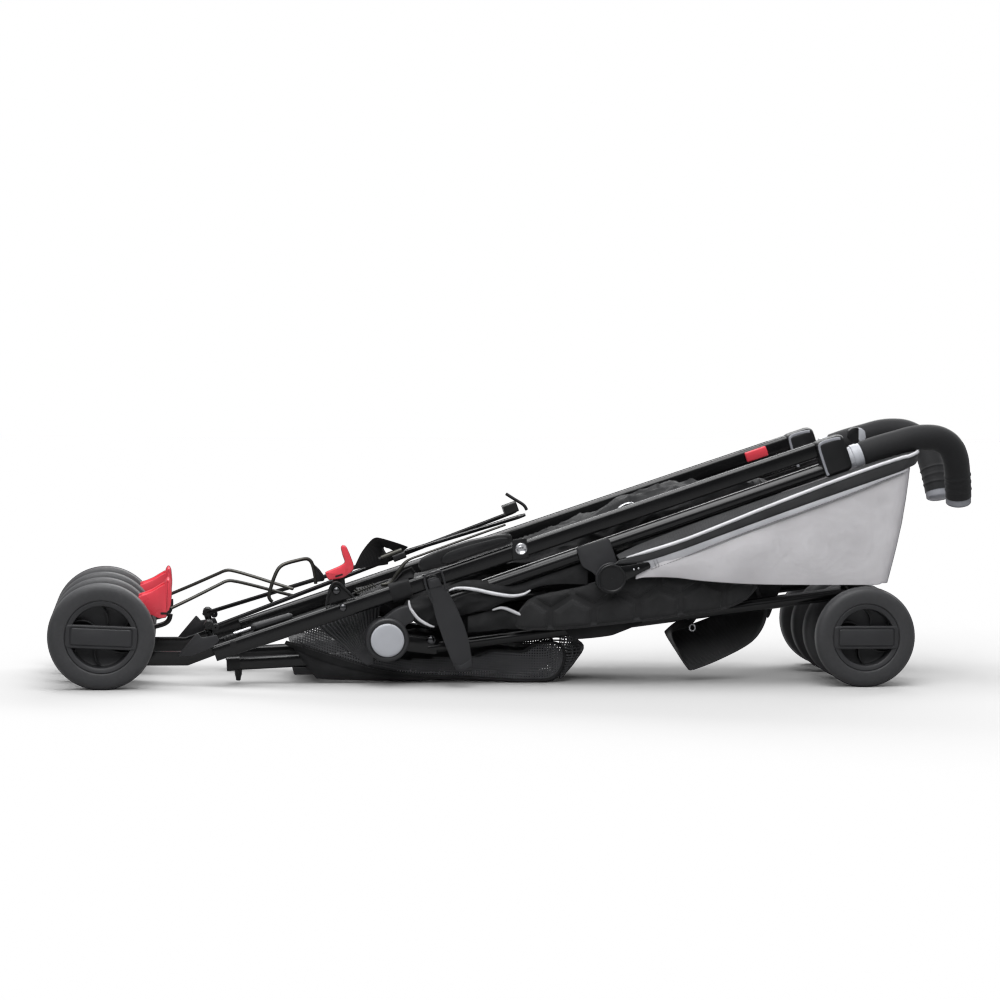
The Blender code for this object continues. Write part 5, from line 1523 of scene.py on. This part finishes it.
# %% Basket sides
for side, side_name, body in SIDES:
    net = hung_net(NET_LOW, NET_HIGH,
                   lambda x, z: at(x, side * (NET_Y + wavy(Vector((x, z, side)), 0.03, 0.0012)), z),
                   lambda x, z: hypot(x - HINGE_X, z - HINGE_Z) < HINGE_HOLE)
    net = with_rail(side, "net", net, NETTING)
    fan = with_rail(side, "fan", fan_mesh(side), NETTING, sharp=80)
    hem = tape(*(level(line_at(line, 90), side * (NET_Y + 0.0006)) for line in (HEM_TOP, HEM_LOW)),
               0.0016 * side, 0.0006 * side)
    with_rail(side, "hem", hem, BLACK_CLOTH)
    seam = [at(x, side * (NET_Y + 0.0019), z - 0.0022) for x, z in line_at(HEM_TOP, 60)]
    sewn = stitches(seam, 0.0026, 0.0018, 0.00026, Vector((0, side * 0.0001, 0)))
    with_rail(side, "stitches", sewn, THREAD)
    under_hem = [(x, z + 0.0008) for x, z in clipped(HEM_LOW, BOTTOM[0][0], BOTTOM[-1][0])][1:-1]
    panel_top = [(BOTTOM[0][0], 0.042), *under_hem, (BOTTOM[-1][0], 0.0056)]
    panel = cloth_between(BOTTOM, panel_top, waved(side, NET_Y - 0.0006, 0.0016, 0.022, 0.0012), 90, 14,
                          0.0008 * side)
    with_rail(side, "bottom", panel, BLACK_CLOTH)
    rim = swept(resampled(smooth_route(level(RIM, side * (NET_Y + 0.0002))), 90), round_section(0.0016, 12))
    with_rail(side, "rim", rim, BLACK_CLOTH)
print("basket sides hung")

# %% Basket bag and end net
BAG_HALF, BAG_ROWS, BAG_RING, END_ROWS = 0.0468, 110, 96, 18
BAG_LOW = drawn(-2550, 475, -2300, 320, -2000, 175, -1500, 80, -500, 36, 300, 30, 500, 90, 620, 200)
BAG_HIGH = drawn(-2550, 484, -1200, 610, 200, 405, 500, 380, 620, 280)
END_PROFILE = drawn(40, 700, 96, 792, 304, 985, 365, 1015, 426, 1002, 470, 945, 574, 889)
bag = bundled(BAG_LOW, BAG_HIGH, BAG_ROWS, BAG_HALF, BAG_RING, 0.55, 2.0)
bag = across(piece("basket_bag", bag, LINING_CLOTH, None, ["basket"], sharp=CREASE_ANGLE), BAG_HALF)


def end_place(i, j, columns):
    """A point of the end net: bulged away from the bag, most in the middle."""
    y = -NET_Y + 2 * NET_Y * i / columns
    z, x_out = line_at(END_PROFILE, END_ROWS)[j]
    bulge = sqrt(max(0.0, 1 - (y / NET_Y) ** 4))
    return at(0.07 + (x_out - 0.07) * bulge + wavy(Vector((z, y, 1.0)), 0.02, 0.0016), y, z)


columns = int(2 * NET_Y / NET_PITCH)
spots = {(i, j): end_place(i, j, columns) for i in range(columns + 1) for j in range(END_ROWS)}
cells = [[(i, j), (i + 1, j), (i + 1, j + 1), (i, j + 1)]
         for i in range(columns) for j in range(END_ROWS - 1)]
end_net = across(piece("basket_end_net", knotted(cells, spots), NETTING), NET_Y)
print("bag and end net hung")

# %% [markdown]
# ## Layers beside the seat
#
# Between the hinge and the hood's clamp the seat's side cloth is rolled round the lower tube, and two
# piped edges show. The roll is a loft of creased sections; the flat layers are thin closed sheets between
# a hidden line under the tube and the visible edge. The piping repeats the hood's, a cord along each
# edge.

# %% Rolled and layered cloth
ROLL_LOW = drawn(
    -1235, 895, -1180, 815, -1128, 769, -1033, 709, -861, 697, -677, 768, -523, 835, -381, 862, -179, 913,
    -25, 981, 130, 1040, 332, 1085)
ROLL_HIGH = drawn(
    -1235, 945, -1180, 1030, -1036, 1083, -858, 1095, -680, 1140, -384, 1165, -86, 1150, 128, 1120,
    332, 1095)
ROLL_Y, ROLL_HALF, LAYER_THICKNESS = 0.0925, 0.01, 0.0009
ROLL_ROWS, ROLL_RING = 90, 56
LAYER_LOW = drawn(
    -720, 1140, -598, 1173, -396, 1161, -182, 1113, 33, 1083, 188, 1100, 271, 1148, 390, 1190, 545, 1213,
    748, 1219, 960, 1210)
LAYER_HIGH = drawn(-720, 1190, -500, 1262, -250, 1262, -70, 1237, 100, 1200, 300, 1262, 600, 1362, 960, 1480)
SMALL_LOW = drawn(-463, 640, -200, 658, -21, 682, 194, 675, 456, 669)
SMALL_HIGH = drawn(-463, 826, -202, 897, -59, 932, 72, 890, 192, 836, 312, 788, 456, 764)
UNDER_LOW = drawn(720, 640, 790, 575, 867, 550, 1216, 584, 1361, 627, 1640, 742)
UNDER_HIGH = ((0.072, 0.072), (0.164, 0.08))
PIPING_ROLL = drawn(-1170, 1028, -1160, 960, -1133, 905, -1050, 805, -931, 734, -865, 715)
PIPING_LONG = drawn(-700, 1145, -595, 1177, -394, 1161, -177, 1113, 40, 1083, 184, 1102, 271, 1150)
PIPING_SHORT = drawn(-175, 908, -61, 935, 70, 892, 187, 840, 303, 795)


def roll_mesh(side):
    """Cloth rolled round the lower tube, creased like the seat's bundle."""
    rows = []
    for x, z_low, z_high in between(ROLL_LOW, ROLL_HIGH, ROLL_ROWS):
        middle, tall = (z_low + z_high) / 2, (z_high - z_low) / 2
        row = []
        for k in range(ROLL_RING):
            angle = 2 * pi * k / ROLL_RING
            u, v = squared(cos(angle), 0.8), squared(sin(angle), 0.9)
            reach = ROLL_HALF * min(1.0, tall / 0.01) ** 0.5
            spot = Vector((x, u * reach, middle + v * tall))
            sink = sunk(spot, 0.03, 0.014, 0.0026, 7.0 + side)
            spot += Vector((0, -u, -v)).normalized() * min(sink, 0.4 * tall)
            row.append(at(spot.x, side * ROLL_Y + spot.y, spot.z))
        rows.append(row)
    return skin(rows)


def piping_cord(line, side, y, radius=0.0019):
    """A cord of piping that tapers at both ends."""
    return swept(resampled(level(line_at(line, 60), side * y), 60), round_section(radius, 12),
                 lambda share: 0.25 + 0.75 * sin(pi * share) ** 0.45)


def layer_y(x, v):
    """The long layer lies outside the tube near the clip and under it further on. Upwards it leans in."""
    share = min(1.0, max(0.0, (x + 0.02) / 0.03))
    return 0.1026 - 0.0052 * share * share * (3 - 2 * share) - 0.004 * v * v


for side, side_name, body in SIDES:
    thick = LAYER_THICKNESS * side
    roll = piece("side_roll_" + side_name, roll_mesh(side), BLACK_CLOTH, body, sharp=CREASE_ANGLE)
    mesh = cloth_between(LAYER_LOW, LAYER_HIGH, waved(side, layer_y, 0.0012, 0.018, 0.0018), 100, 16, thick)
    sheet = piece("side_layer_" + side_name, mesh, BLACK_CLOTH, body)
    mesh = cloth_between(SMALL_LOW, SMALL_HIGH, waved(side, 0.095, 0.003, 0.014, 0.0022), 70, 16, thick)
    sheet = piece("lower_layer_" + side_name, mesh, BLACK_CLOTH, body)
    mesh = cloth_between(UNDER_LOW, UNDER_HIGH, waved(side, 0.087, 0.0, 0.02, 0.0012), 60, 12, thick)
    sheet = piece("under_flap_" + side_name, mesh, BLACK_CLOTH, body)
    cords = [piping_cord(PIPING_ROLL, side, 0.1018), piping_cord(PIPING_LONG, side, 0.104, 0.0021),
             piping_cord(PIPING_SHORT, side, 0.0975)]
    piece("side_piping_" + side_name, merged(cords), PIPING, body)
print("side layers sewn")

# %% [markdown]
# ## Levers, loop and clip
#
# A red hook frees the fold, a bent wire loop pulls the brace over its centre, and a long clip keeps the
# folded frame together. Hook and clip are flat mouldings, so they are plates with well rounded corners.
# The loop is wire, so it is a sweep along a smooth route from one foot on the brace to the other.

# %% Fold lever, release loop and storage clip
LEVER_Y_IN, LEVER_Y_OUT = 0.0848, 0.0904
SUNK, PROUD = 0.0004, 0.0002
LEVER_OUTLINE = drawn(
    -163, 92, -122, 5, 54, 36, 166, 118, 174, 186, 122, 322, 82, 410, 42, 424, 20, 396, 43, 300, 76, 214,
    12, 173, -149, 105)
lever = plate(rounded(beside(LEVER_PIVOT, LEVER_OUTLINE), 0.003, 5), -LEVER_Y_IN, -LEVER_Y_OUT, 0.0016)
piece("fold_lever_hook", lever, CORAL_RED, "fold_lever", ["fold_lever"])
# The slot is a thin satin black plate on the hook's face: painted shade for the opening.
painted_slot_shade = rounded(beside(LEVER_PIVOT, drawn(-50, 60, -40, 40, 50, 68, 40, 88)), 0.001)
painted_slot_shade = plate(painted_slot_shade, -LEVER_Y_OUT + SUNK, -LEVER_Y_OUT - PROUD, 0.0001)
piece("fold_lever_slot_painted_shade", painted_slot_shade, SATIN_BLACK, "fold_lever")

LOOP_WIRE_R = 0.0019
LOOP_ROUTE = drawn(
    -2765, 962, -2790, 990, -2801, 1040, -2762, 1190, -2710, 1320, -2660, 1382, -2590, 1415, -2480, 1442,
    -2374, 1461, -2320, 1450, -2285, 1405, -2262, 1330, -2245, 1240, -2238, 1160)
LOOP_Y_FROM, LOOP_Y_RUN = -0.0482, 0.34
route = [at(x, LOOP_Y_FROM + (x + 0.282) * LOOP_Y_RUN, z) for x, z in LOOP_ROUTE]
wire = swept(smooth_route(route), round_section(LOOP_WIRE_R, 16))
piece("release_loop_wire", wire, OLIVE_STEEL, "release_loop", ["release_loop"])
gusset = rounded(drawn(-2290, 1420, -2195, 1330, -2130, 1240, -2140, 1195, -2235, 1180, -2262, 1290), 0.0015)
piece("release_loop_gusset", plate(gusset, -0.027, -0.03, 0.0006), SATIN_BLACK, "cross_bar_right")

CLIP_Y_IN, CLIP_Y_OUT = 0.1097, 0.113
CLIP_OUTLINE = drawn(
    -970, 1290, -850, 1322, -790, 1215, -700, 1120, -640, 1010, -575, 875, -520, 740, -475, 600, -440, 430,
    -412, 250, -545, 200, -612, 210, -670, 330, -733, 480, -800, 660, -860, 840, -910, 1040, -945, 1200)
clip = plate(rounded(CLIP_OUTLINE, 0.003, 3), -CLIP_Y_IN, -CLIP_Y_OUT, 0.0009)
head = [at(x, -y, z) for x, y, z in drawn(-900, 1120, 1020, -968, 1135, 1180, -995, 1142, 1300,
                                          -975, 1143, 1345, -900, 1143, 1368, -828, 1143, 1390,
                                          -795, 1142, 1372, -765, 1136, 1280, -740, 1120, 1170, each=3)]
frame_bar = swept(smooth_route(head, 5), box_section(0.0034, 0.0026, 0.0009, 3))
tongue = plate(rounded(drawn(-950, 1225, -935, 1275, -830, 1305, -785, 1215, -930, 1180), 0.0015),
               -CLIP_Y_OUT + SUNK, -0.1142, 0.0006)
foot = plate(rounded(drawn(-640, 300, -585, 215, -540, 208, -425, 258, -434, 345, -560, 265), 0.0016),
             -CLIP_Y_OUT + SUNK, -0.1139, 0.0006)
clip = merged([clip, frame_bar, tongue, foot])
piece("storage_clip_moulding", clip, DARK_GREY, "storage_clip", ["storage_clip"])
print("levers and clip made")

# %% [markdown]
# ## Brakes, covers and knobs
#
# Each brake pedal is a channel: the frame's red block gets the tall rounded lip that a foot pushes. Grey
# covers hide the joint between the leg and the tube, and a faceted knob holds the foot of each brace bar.

# %% Brakes, covers and knobs
PEDAL_LIP = drawn(
    -4042, 1180, -4030, 1236, -4008, 1273, -3985, 1268, -3966, 1225, -3955, 1088, -3964, 970, -3988, 896,
    -4030, 888, -4046, 1030)
PEDAL_SIDE = drawn(
    -4345, 1068, -4270, 1090, -4184, 1126, -4110, 1172, -4035, 1216, -4020, 1040, -4010, 900, -4018, 820,
    -4110, 812, -4180, 850, -4345, 860)
PEDAL_WEB = drawn(-4300, 1050, -4180, 1085, -4040, 1150)
PEDAL_IN, PEDAL_OUT, PEDAL_WALL = 0.055, 0.093, 0.0032
LEG_COVER = drawn(-3890, 368, -3658, 648, -3603, 585, -3429, 620, -3396, 553, -3475, 472, -3710, 377)
HUB_SIZE, HUB_HALF, EAR_R, EAR_HALF = 0.02, 0.022, 0.008, 0.008
HUB_EDGE, HUB_FLOOR, BRAKE_PIVOT = -0.452, 0.024, (-0.4235, 0.0895)
LUG_ROUTE = drawn(-4600, 530, 570, -4300, 515, 640, -4080, 505, 690, -3995, 505, 740, -3970, 505, 820, each=3)
LUG_WIRE_R, LEFT_LUG_RISE = 0.0027, 0.0075
TUBE_BOLT, LEG_BOLT = (-0.3234, 0.0511, 0.0962), (-0.0885, 0.054, 0.0822)
KNOB, KNOB_PIN = (-0.352, 0.0715), (-0.344, 0.069)
COVER_IN, COVER_OUT = 0.0952, 0.0974


def hub_parts(side):
    """The moulded hub between two rear wheels, the brake's ear, and the bent pin that holds the link rod."""
    middle = (REAR_X, REAR_R * AXLE_SHARE)
    outline = circle(middle, HUB_SIZE, 12, 90, 250) + [(HUB_EDGE, HUB_FLOOR), (HUB_EDGE, middle[1] + 0.01)]
    hub = plate(outline, side * (UNIT_Y - HUB_HALF), side * (UNIT_Y + HUB_HALF), 0.002)
    ear = strip(((HUB_EDGE - 0.004, middle[1] + 0.004), BRAKE_PIVOT), 1.8 * EAR_R)
    near, far = UNIT_Y - EAR_HALF, UNIT_Y + EAR_HALF
    knuckle = [(EAR_R * 0.3, near), (EAR_R, near), (EAR_R, far), (EAR_R * 0.3, far)]
    pin = [at(x, side * y, z) for x, y, z in LUG_ROUTE]
    if side == LEFT:
        pin.append(pin[-1] + Vector((0, 0, LEFT_LUG_RISE)))
    return [hub, plate(ear, side * near, side * far, 0.0012), turned(knuckle, *BRAKE_PIVOT, side, 40),
            swept(smooth_route(pin, 5), round_section(LUG_WIRE_R, 16))]


for side, side_name, body in SIDES:
    brake = "brake_" + side_name
    hub = merged(hub_parts(side))
    piece(f"rear_hub_{side_name}_moulding", hub, SATIN_BLACK, body, ["rear_hub_" + side_name])
    parts = [plate(rounded(PEDAL_LIP, 0.002, 4), side * PEDAL_IN, side * PEDAL_OUT, 0.0018),
             plate(strip(PEDAL_WEB, 0.0028), side * (PEDAL_IN + 0.001), side * (PEDAL_OUT - 0.001), 0.0004)]
    for y in (PEDAL_IN, PEDAL_OUT - PEDAL_WALL):
        parts.append(plate(rounded(PEDAL_SIDE, 0.0016, 3), side * y, side * (y + PEDAL_WALL), 0.001))
    piece("brake_pedal_channel_" + side_name, merged(parts), CORAL_RED, brake, ["brake_pedal_" + side_name])
    # The slot is a thin satin black plate on the pedal's face: painted shade for the opening.
    painted_slot_shade = plate(rounded(drawn(-4085, 884, -4012, 884, -4012, 856, -4085, 856), 0.0008),
                 side * (PEDAL_OUT - SUNK), side * (PEDAL_OUT + PROUD), 0.0001)
    piece("brake_slot_painted_shade_" + side_name, painted_slot_shade, SATIN_BLACK, brake)
    cover = plate(rounded(LEG_COVER, 0.0016), side * COVER_IN, side * COVER_OUT, 0.0007)
    piece("leg_cover_" + side_name, cover, DARK_GREY, body)
    piece("tube_bolt_" + side_name, rivet(*TUBE_BOLT, side, 0.004, 0.0008), SATIN_BLACK, body)
    bolt = rivet(*LEG_BOLT, side, 0.0057, 0.0036)
    piece("leg_bolt_" + side_name, bolt, POLISHED_BLACK, "front_leg_" + side_name)
    knob = [turned(drawn(10, 665, 50, 665, 58, 675, 58, 795, 50, 805, 10, 805), *KNOB, side, 10),
            turned(drawn(10, 690, 40, 690, 40, 830, 10, 830), *KNOB_PIN, side, 16)]
    piece("brace_knob_" + side_name, merged(knob), SATIN_BLACK, "cross_bar_" + side_name, sharp=20)
print("covers and knobs made")

# %% [markdown]
# ## What sits on the near tube
#
# The right tube carries what the left one does not: the lever's bracket, a spring, a cloth sleeve, a
# tensioner with its rod, and the long moulded cover with a square boss. Round heads are turned, the
# spring is a helix from a formula, and the cover is a plate whose raised panel is a second, smaller
# plate.

# %% Lever bracket, rivets and spring
TUBE_FACE = 0.096
BRACKET_ARCH = drawn(-2145, 960, -2120, 1090, -2085, 1190, -2040, 1238, -1985, 1225, -1930, 1170, -1815, 1060)
arch = swept(smooth_route(level(BRACKET_ARCH, -0.094)), box_section(0.0044, 0.0024, 0.0009, 3))
web = plate(rounded(drawn(-2130, 975, -2080, 1180, -2030, 1225, -1975, 1205, -1840, 1060), 0.002),
            -0.0915, -0.093, 0.0004)
near_tube("lever_bracket", merged([arch, web]), SATIN_BLACK)
heads = [rivet(-0.2022, 0.1138, 0.0932, RIGHT, 0.0048, 0.0036, 36),
         rivet(-0.1945, 0.0939, TUBE_FACE, RIGHT, 0.0046, 0.0034, 36)]
near_tube("lever_rivets", merged(heads), POLISHED_BLACK)

SPRING_Y, SPRING_R, SPRING_TURNS, SPRING_WIRE, TURN_STEPS = -0.088, 0.003, 8, 0.00055, 16
SPRING_FROM, SPRING_TO = at(-0.18, SPRING_Y, 0.1105), at(-0.156, SPRING_Y, 0.12)
axis = (SPRING_TO - SPRING_FROM).normalized()
over = axis.cross(Vector((0, 1, 0)))
coil = []
for step in range(SPRING_TURNS * TURN_STEPS + 1):
    angle = 2 * pi * step / TURN_STEPS
    middle = SPRING_FROM.lerp(SPRING_TO, step / (SPRING_TURNS * TURN_STEPS))
    coil.append(middle + Vector((0, SPRING_R * cos(angle), 0)) + over * SPRING_R * sin(angle))
near_tube("lever_spring", swept(coil, round_section(SPRING_WIRE, 8), side_way=axis), OLIVE_STEEL)
rod = swept([SPRING_FROM - axis * 0.003, SPRING_TO + axis * 0.016], round_section(0.0012, 12))
near_tube("lever_spring_rod", rod, SATIN_BLACK)
print("spring of", SPRING_TURNS, "turns")

# %% Sleeve, tensioner and flat lever
SLEEVE = (0.219, 0.244)
sleeve_rows = []
for k in range(13):
    share = k / 12
    spread_out = 1.0 + 0.05 * sin(pi * share) + (0.02 if k % 2 else 0.0)
    middle = on_tube(SLEEVE[0] + (SLEEVE[1] - SLEEVE[0]) * share, 0.0004, -TUBE_Y)
    ring = box_section((TUBE_WIDTH + 0.0022) * spread_out, (TUBE_DEPTH + 0.0024) * spread_out, 0.005)
    sleeve_rows.append([middle + Vector((0, 1, 0)) * u + SQUARE * v for u, v in ring])
near_tube("tube_sleeve", skin(sleeve_rows), BLACK_CLOTH)
FLARE = drawn(
    -1330, 1210, -1360, 1230, -1230, 1240, -1240, 1370, -1160, 1265, -1130, 1420, -1110, 1280, -1090, 1360,
    each=4)
flare = [[at(xa + (xb - xa) * k / 6, -0.09 + 0.002 * sin(5 * k), za + (zb - za) * k / 6)
          for k in range(7)] for xa, za, xb, zb in FLARE]
near_tube("sleeve_flare", shell(flare, 0.001), BLACK_CLOTH)

LEVER_STRIP = drawn(
    -1480, 1185, -1420, 1190, -1350, 1222, -1280, 1330, -1200, 1440, -1130, 1492, -980, 1548, -750, 1632,
    -500, 1722, -250, 1812, 0, 1902)
flat_lever = swept(smooth_route(level(LEVER_STRIP, -0.07)), box_section(0.01, 0.0042, 0.0012, 3),
                   lambda share: 1.0 - 0.55 * min(1.0, max(0.0, (share - 0.32) * 6)))
near_tube("tension_strip", flat_lever, OLIVE_STEEL)

PILL_Y = -0.085
PILL_FROM, PILL_TO = on_tube(0.0495, 0.014, PILL_Y), on_tube(0.101, 0.0125, PILL_Y)


def pill_swell(share):
    """Round at both ends, and a little thinner towards the far one."""
    return (0.35 + 0.65 * min(1.0, share * 12, (1 - share) * 12) ** 0.5) * (1 - 0.2 * share)


pill = swept([PILL_FROM.lerp(PILL_TO, k / 24) for k in range(25)], round_section(0.005), pill_swell)
near_tube("tensioner_cover", pill, DARK_GREY)
pin = rivet(*drawing(PILL_FROM + ALONG * 0.003), 0.0898, RIGHT, 0.003, 0.0008)
near_tube("tensioner_pin", pin, SATIN_BLACK)
rod = swept([PILL_FROM - ALONG * 0.021, PILL_FROM + ALONG * 0.002], round_section(0.0019, 16))
near_tube("tensioner_rod", rod, BRIGHT_STEEL)
screws = [rivet(*drawing(on_tube(d, 0.0125)), 0.09, RIGHT, 0.0022, 0.001) for d in (0.02, 0.0255)]
seat = strip((drawing(on_tube(0.016, 0.01)), drawing(on_tube(0.03, 0.012))), 0.006)
seat = merged(screws + [plate(seat, -0.083, -0.09, 0.0008)])
near_tube("tensioner_seat", seat, SATIN_BLACK)
print("tensioner made")

# %% Moulded cover and boss
COVER = drawn(
    -1045, 1385, -1050, 1470, -1010, 1525, -900, 1580, -750, 1640, -450, 1735, -120, 1805, 30, 1815,
    60, 1770, 50, 1700, -720, 1440, -1000, 1360)
COVER_PANEL = drawn(
    -780, 1450, -790, 1530, -730, 1590, -620, 1635, -440, 1690, -100, 1775, 10, 1775, 20, 1725, -680, 1465)
cover = [plate(rounded(COVER, 0.004), -0.088, -0.0972, 0.002),
         plate(rounded(COVER_PANEL, 0.004), -0.0966, -0.099, 0.0016)]
near_tube("tube_cover", merged(cover), SATIN_BLACK)
BOSS = (0.0162, 0.1638)
boss = rounded(drawn(60, 1500, 55, 1745, 225, 1770, 255, 1540), 0.0022)
near_tube("boss_plate", plate(boss, -0.0955, -0.098, 0.0009), SATIN_BLACK)
lip = turned(drawn(36, 976, 64, 976, 70, 982, 68, 994, 58, 998, 46, 992, 36, 984), *BOSS, RIGHT, 48)
head = merged([lip, rivet(*BOSS, 0.098, RIGHT, 0.0036, 0.0008)])
near_tube("boss_rivet", head, BRIGHT_STEEL)
print("cover", len(COVER), "corners")

# %% [markdown]
# ## Webbing, buckles and small feet
#
# A loop of webbing stands above the sleeve with its slider, a steel buckle lies in the seat's folds and
# another on the strap. Under the rails a peg and a block keep the folded pushchair off the ground.

# %% Webbing loop, buckles and feet
LOOP_OUTER = drawn(
    -1795, 1360, -1770, 1422, -1700, 1563, -1600, 1692, -1539, 1732, -1470, 1724, -1367, 1695, -1250, 1658,
    -1154, 1622)
LOOP_INNER = drawn(
    -1380, 1400, -1373, 1460, -1400, 1530, -1429, 1584, -1425, 1612, -1400, 1600, -1360, 1590, -1310, 1562,
    -1246, 1528)
WEB_POINTS, WEB_Y, LATCH_Y = 60, -0.06, -0.056


def straight(start, stop, y, section):
    """A straight bar between two points of x and z, at one value of y."""
    return swept(level((start, stop), y), section)


def wire_oval(x, y, z, wide, tall, lean, radius):
    """A ring of wire in XZ. lean tips its ends up and down."""
    angles = [radians(30 * k) for k in range(13)]
    ring = [at(x + wide * cos(a), y, z + tall * sin(a) + lean * cos(a)) for a in angles]
    return swept(smooth_route(ring, 3), round_section(radius, 8))


edges = [resampled(smooth_route(level(points, y), 8), WEB_POINTS)
         for y, points in ((-0.056, LOOP_OUTER), (-0.036, LOOP_INNER))]
near_tube("webbing_loop", tape(*edges, 0.0014, 0.0, 8), WEBBING)
slider = straight((-0.147, 0.15), (-0.123, 0.1592), WEB_Y, box_section(0.012, 0.0052, 0.0022, 4))
near_tube("webbing_slider", slider, OLIVE_STEEL)
pin = straight((-0.15, 0.1478), (-0.14, 0.152), WEB_Y, round_section(0.0026, 16))
block = straight((-0.133, 0.149), (-0.119, 0.1545), WEB_Y, box_section(0.015, 0.0078, 0.0018, 3))
near_tube("webbing_block", merged([pin, block]), SATIN_BLACK)

buckle = wire_oval(0.1475, -0.05, 0.209, 0.01, 0.005, 0.0034, 0.0011)
across(piece("seat_buckle", buckle, BRIGHT_STEEL))
buckle = wire_oval(0.2285, -0.0612, 0.0655, 0.0034, 0.004, 0.0, 0.0008)
piece("strap_buckle", buckle, BRIGHT_STEEL, "seat_sling")

FOOT_Y, PEG_X, PEG_STEPS = 0.055, -0.3165, 20
PEG_PROFILE = drawn(2, 155, 42, 155, 40, 110, 28, 60, 26, 35, 18, 30, 2, 30)
for side, side_name, body in SIDES:
    peg = []
    for k in range(PEG_STEPS):
        angle = 2 * pi * k / PEG_STEPS
        peg.append([at(PEG_X + r * cos(angle), side * FOOT_Y + r * sin(angle), z) for r, z in PEG_PROFILE])
    block = plate(rounded(drawn(-2525, 190, -2260, 190, -2260, 105, -2500, 100), 0.0015),
                  side * 0.048, side * 0.06, 0.0008)
    cap = straight((-0.3302, 0.0224), (-0.315, 0.0232), side * FOOT_Y, box_section(0.0152, 0.0152, 0.0022, 3))
    feet = merged([skin(peg, loop=True), block, cap])
    piece("rail_feet_" + side_name, feet, SATIN_BLACK, "seat_rail_" + side_name)

knot = straight((-0.001, 0.206), (0.015, 0.2118), LATCH_Y, box_section(0.012, 0.012, 0.0016, 3))
pull = level(drawn(20, 2262, 110, 2205, 230, 2130, 270, 2070), LATCH_Y)
pull = swept(smooth_route(pull), round_section(0.0016, 12))
piece("brace_latch", merged([knot, pull]), SATIN_BLACK, "cross_bar_left")
CLIP_BODY = drawn(4434, 2895, 4458, 2983, 4521, 3021, 4584, 3018, 4590, 2846, 4486, 2845)
CLIP_CAP = drawn(4578, 3012, 4610, 3012, 4662, 2971, 4676, 2883, 4626, 2846, 4582, 2850)
piece("grip_clip", plate(rounded(CLIP_BODY, 0.0022), 0.0735, 0.085, 0.001), SATIN_BLACK, "frame_left")
piece("grip_clip_cap", plate(rounded(CLIP_CAP, 0.0022), 0.0728, 0.085, 0.001), CAP_SILVER, "frame_left")
print("webbing, buckles and feet made")

# %% Overall size
low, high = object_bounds()
print("the dressed model is", [round(1000 * (b - a)) for a, b in zip(low, high)], "mm")
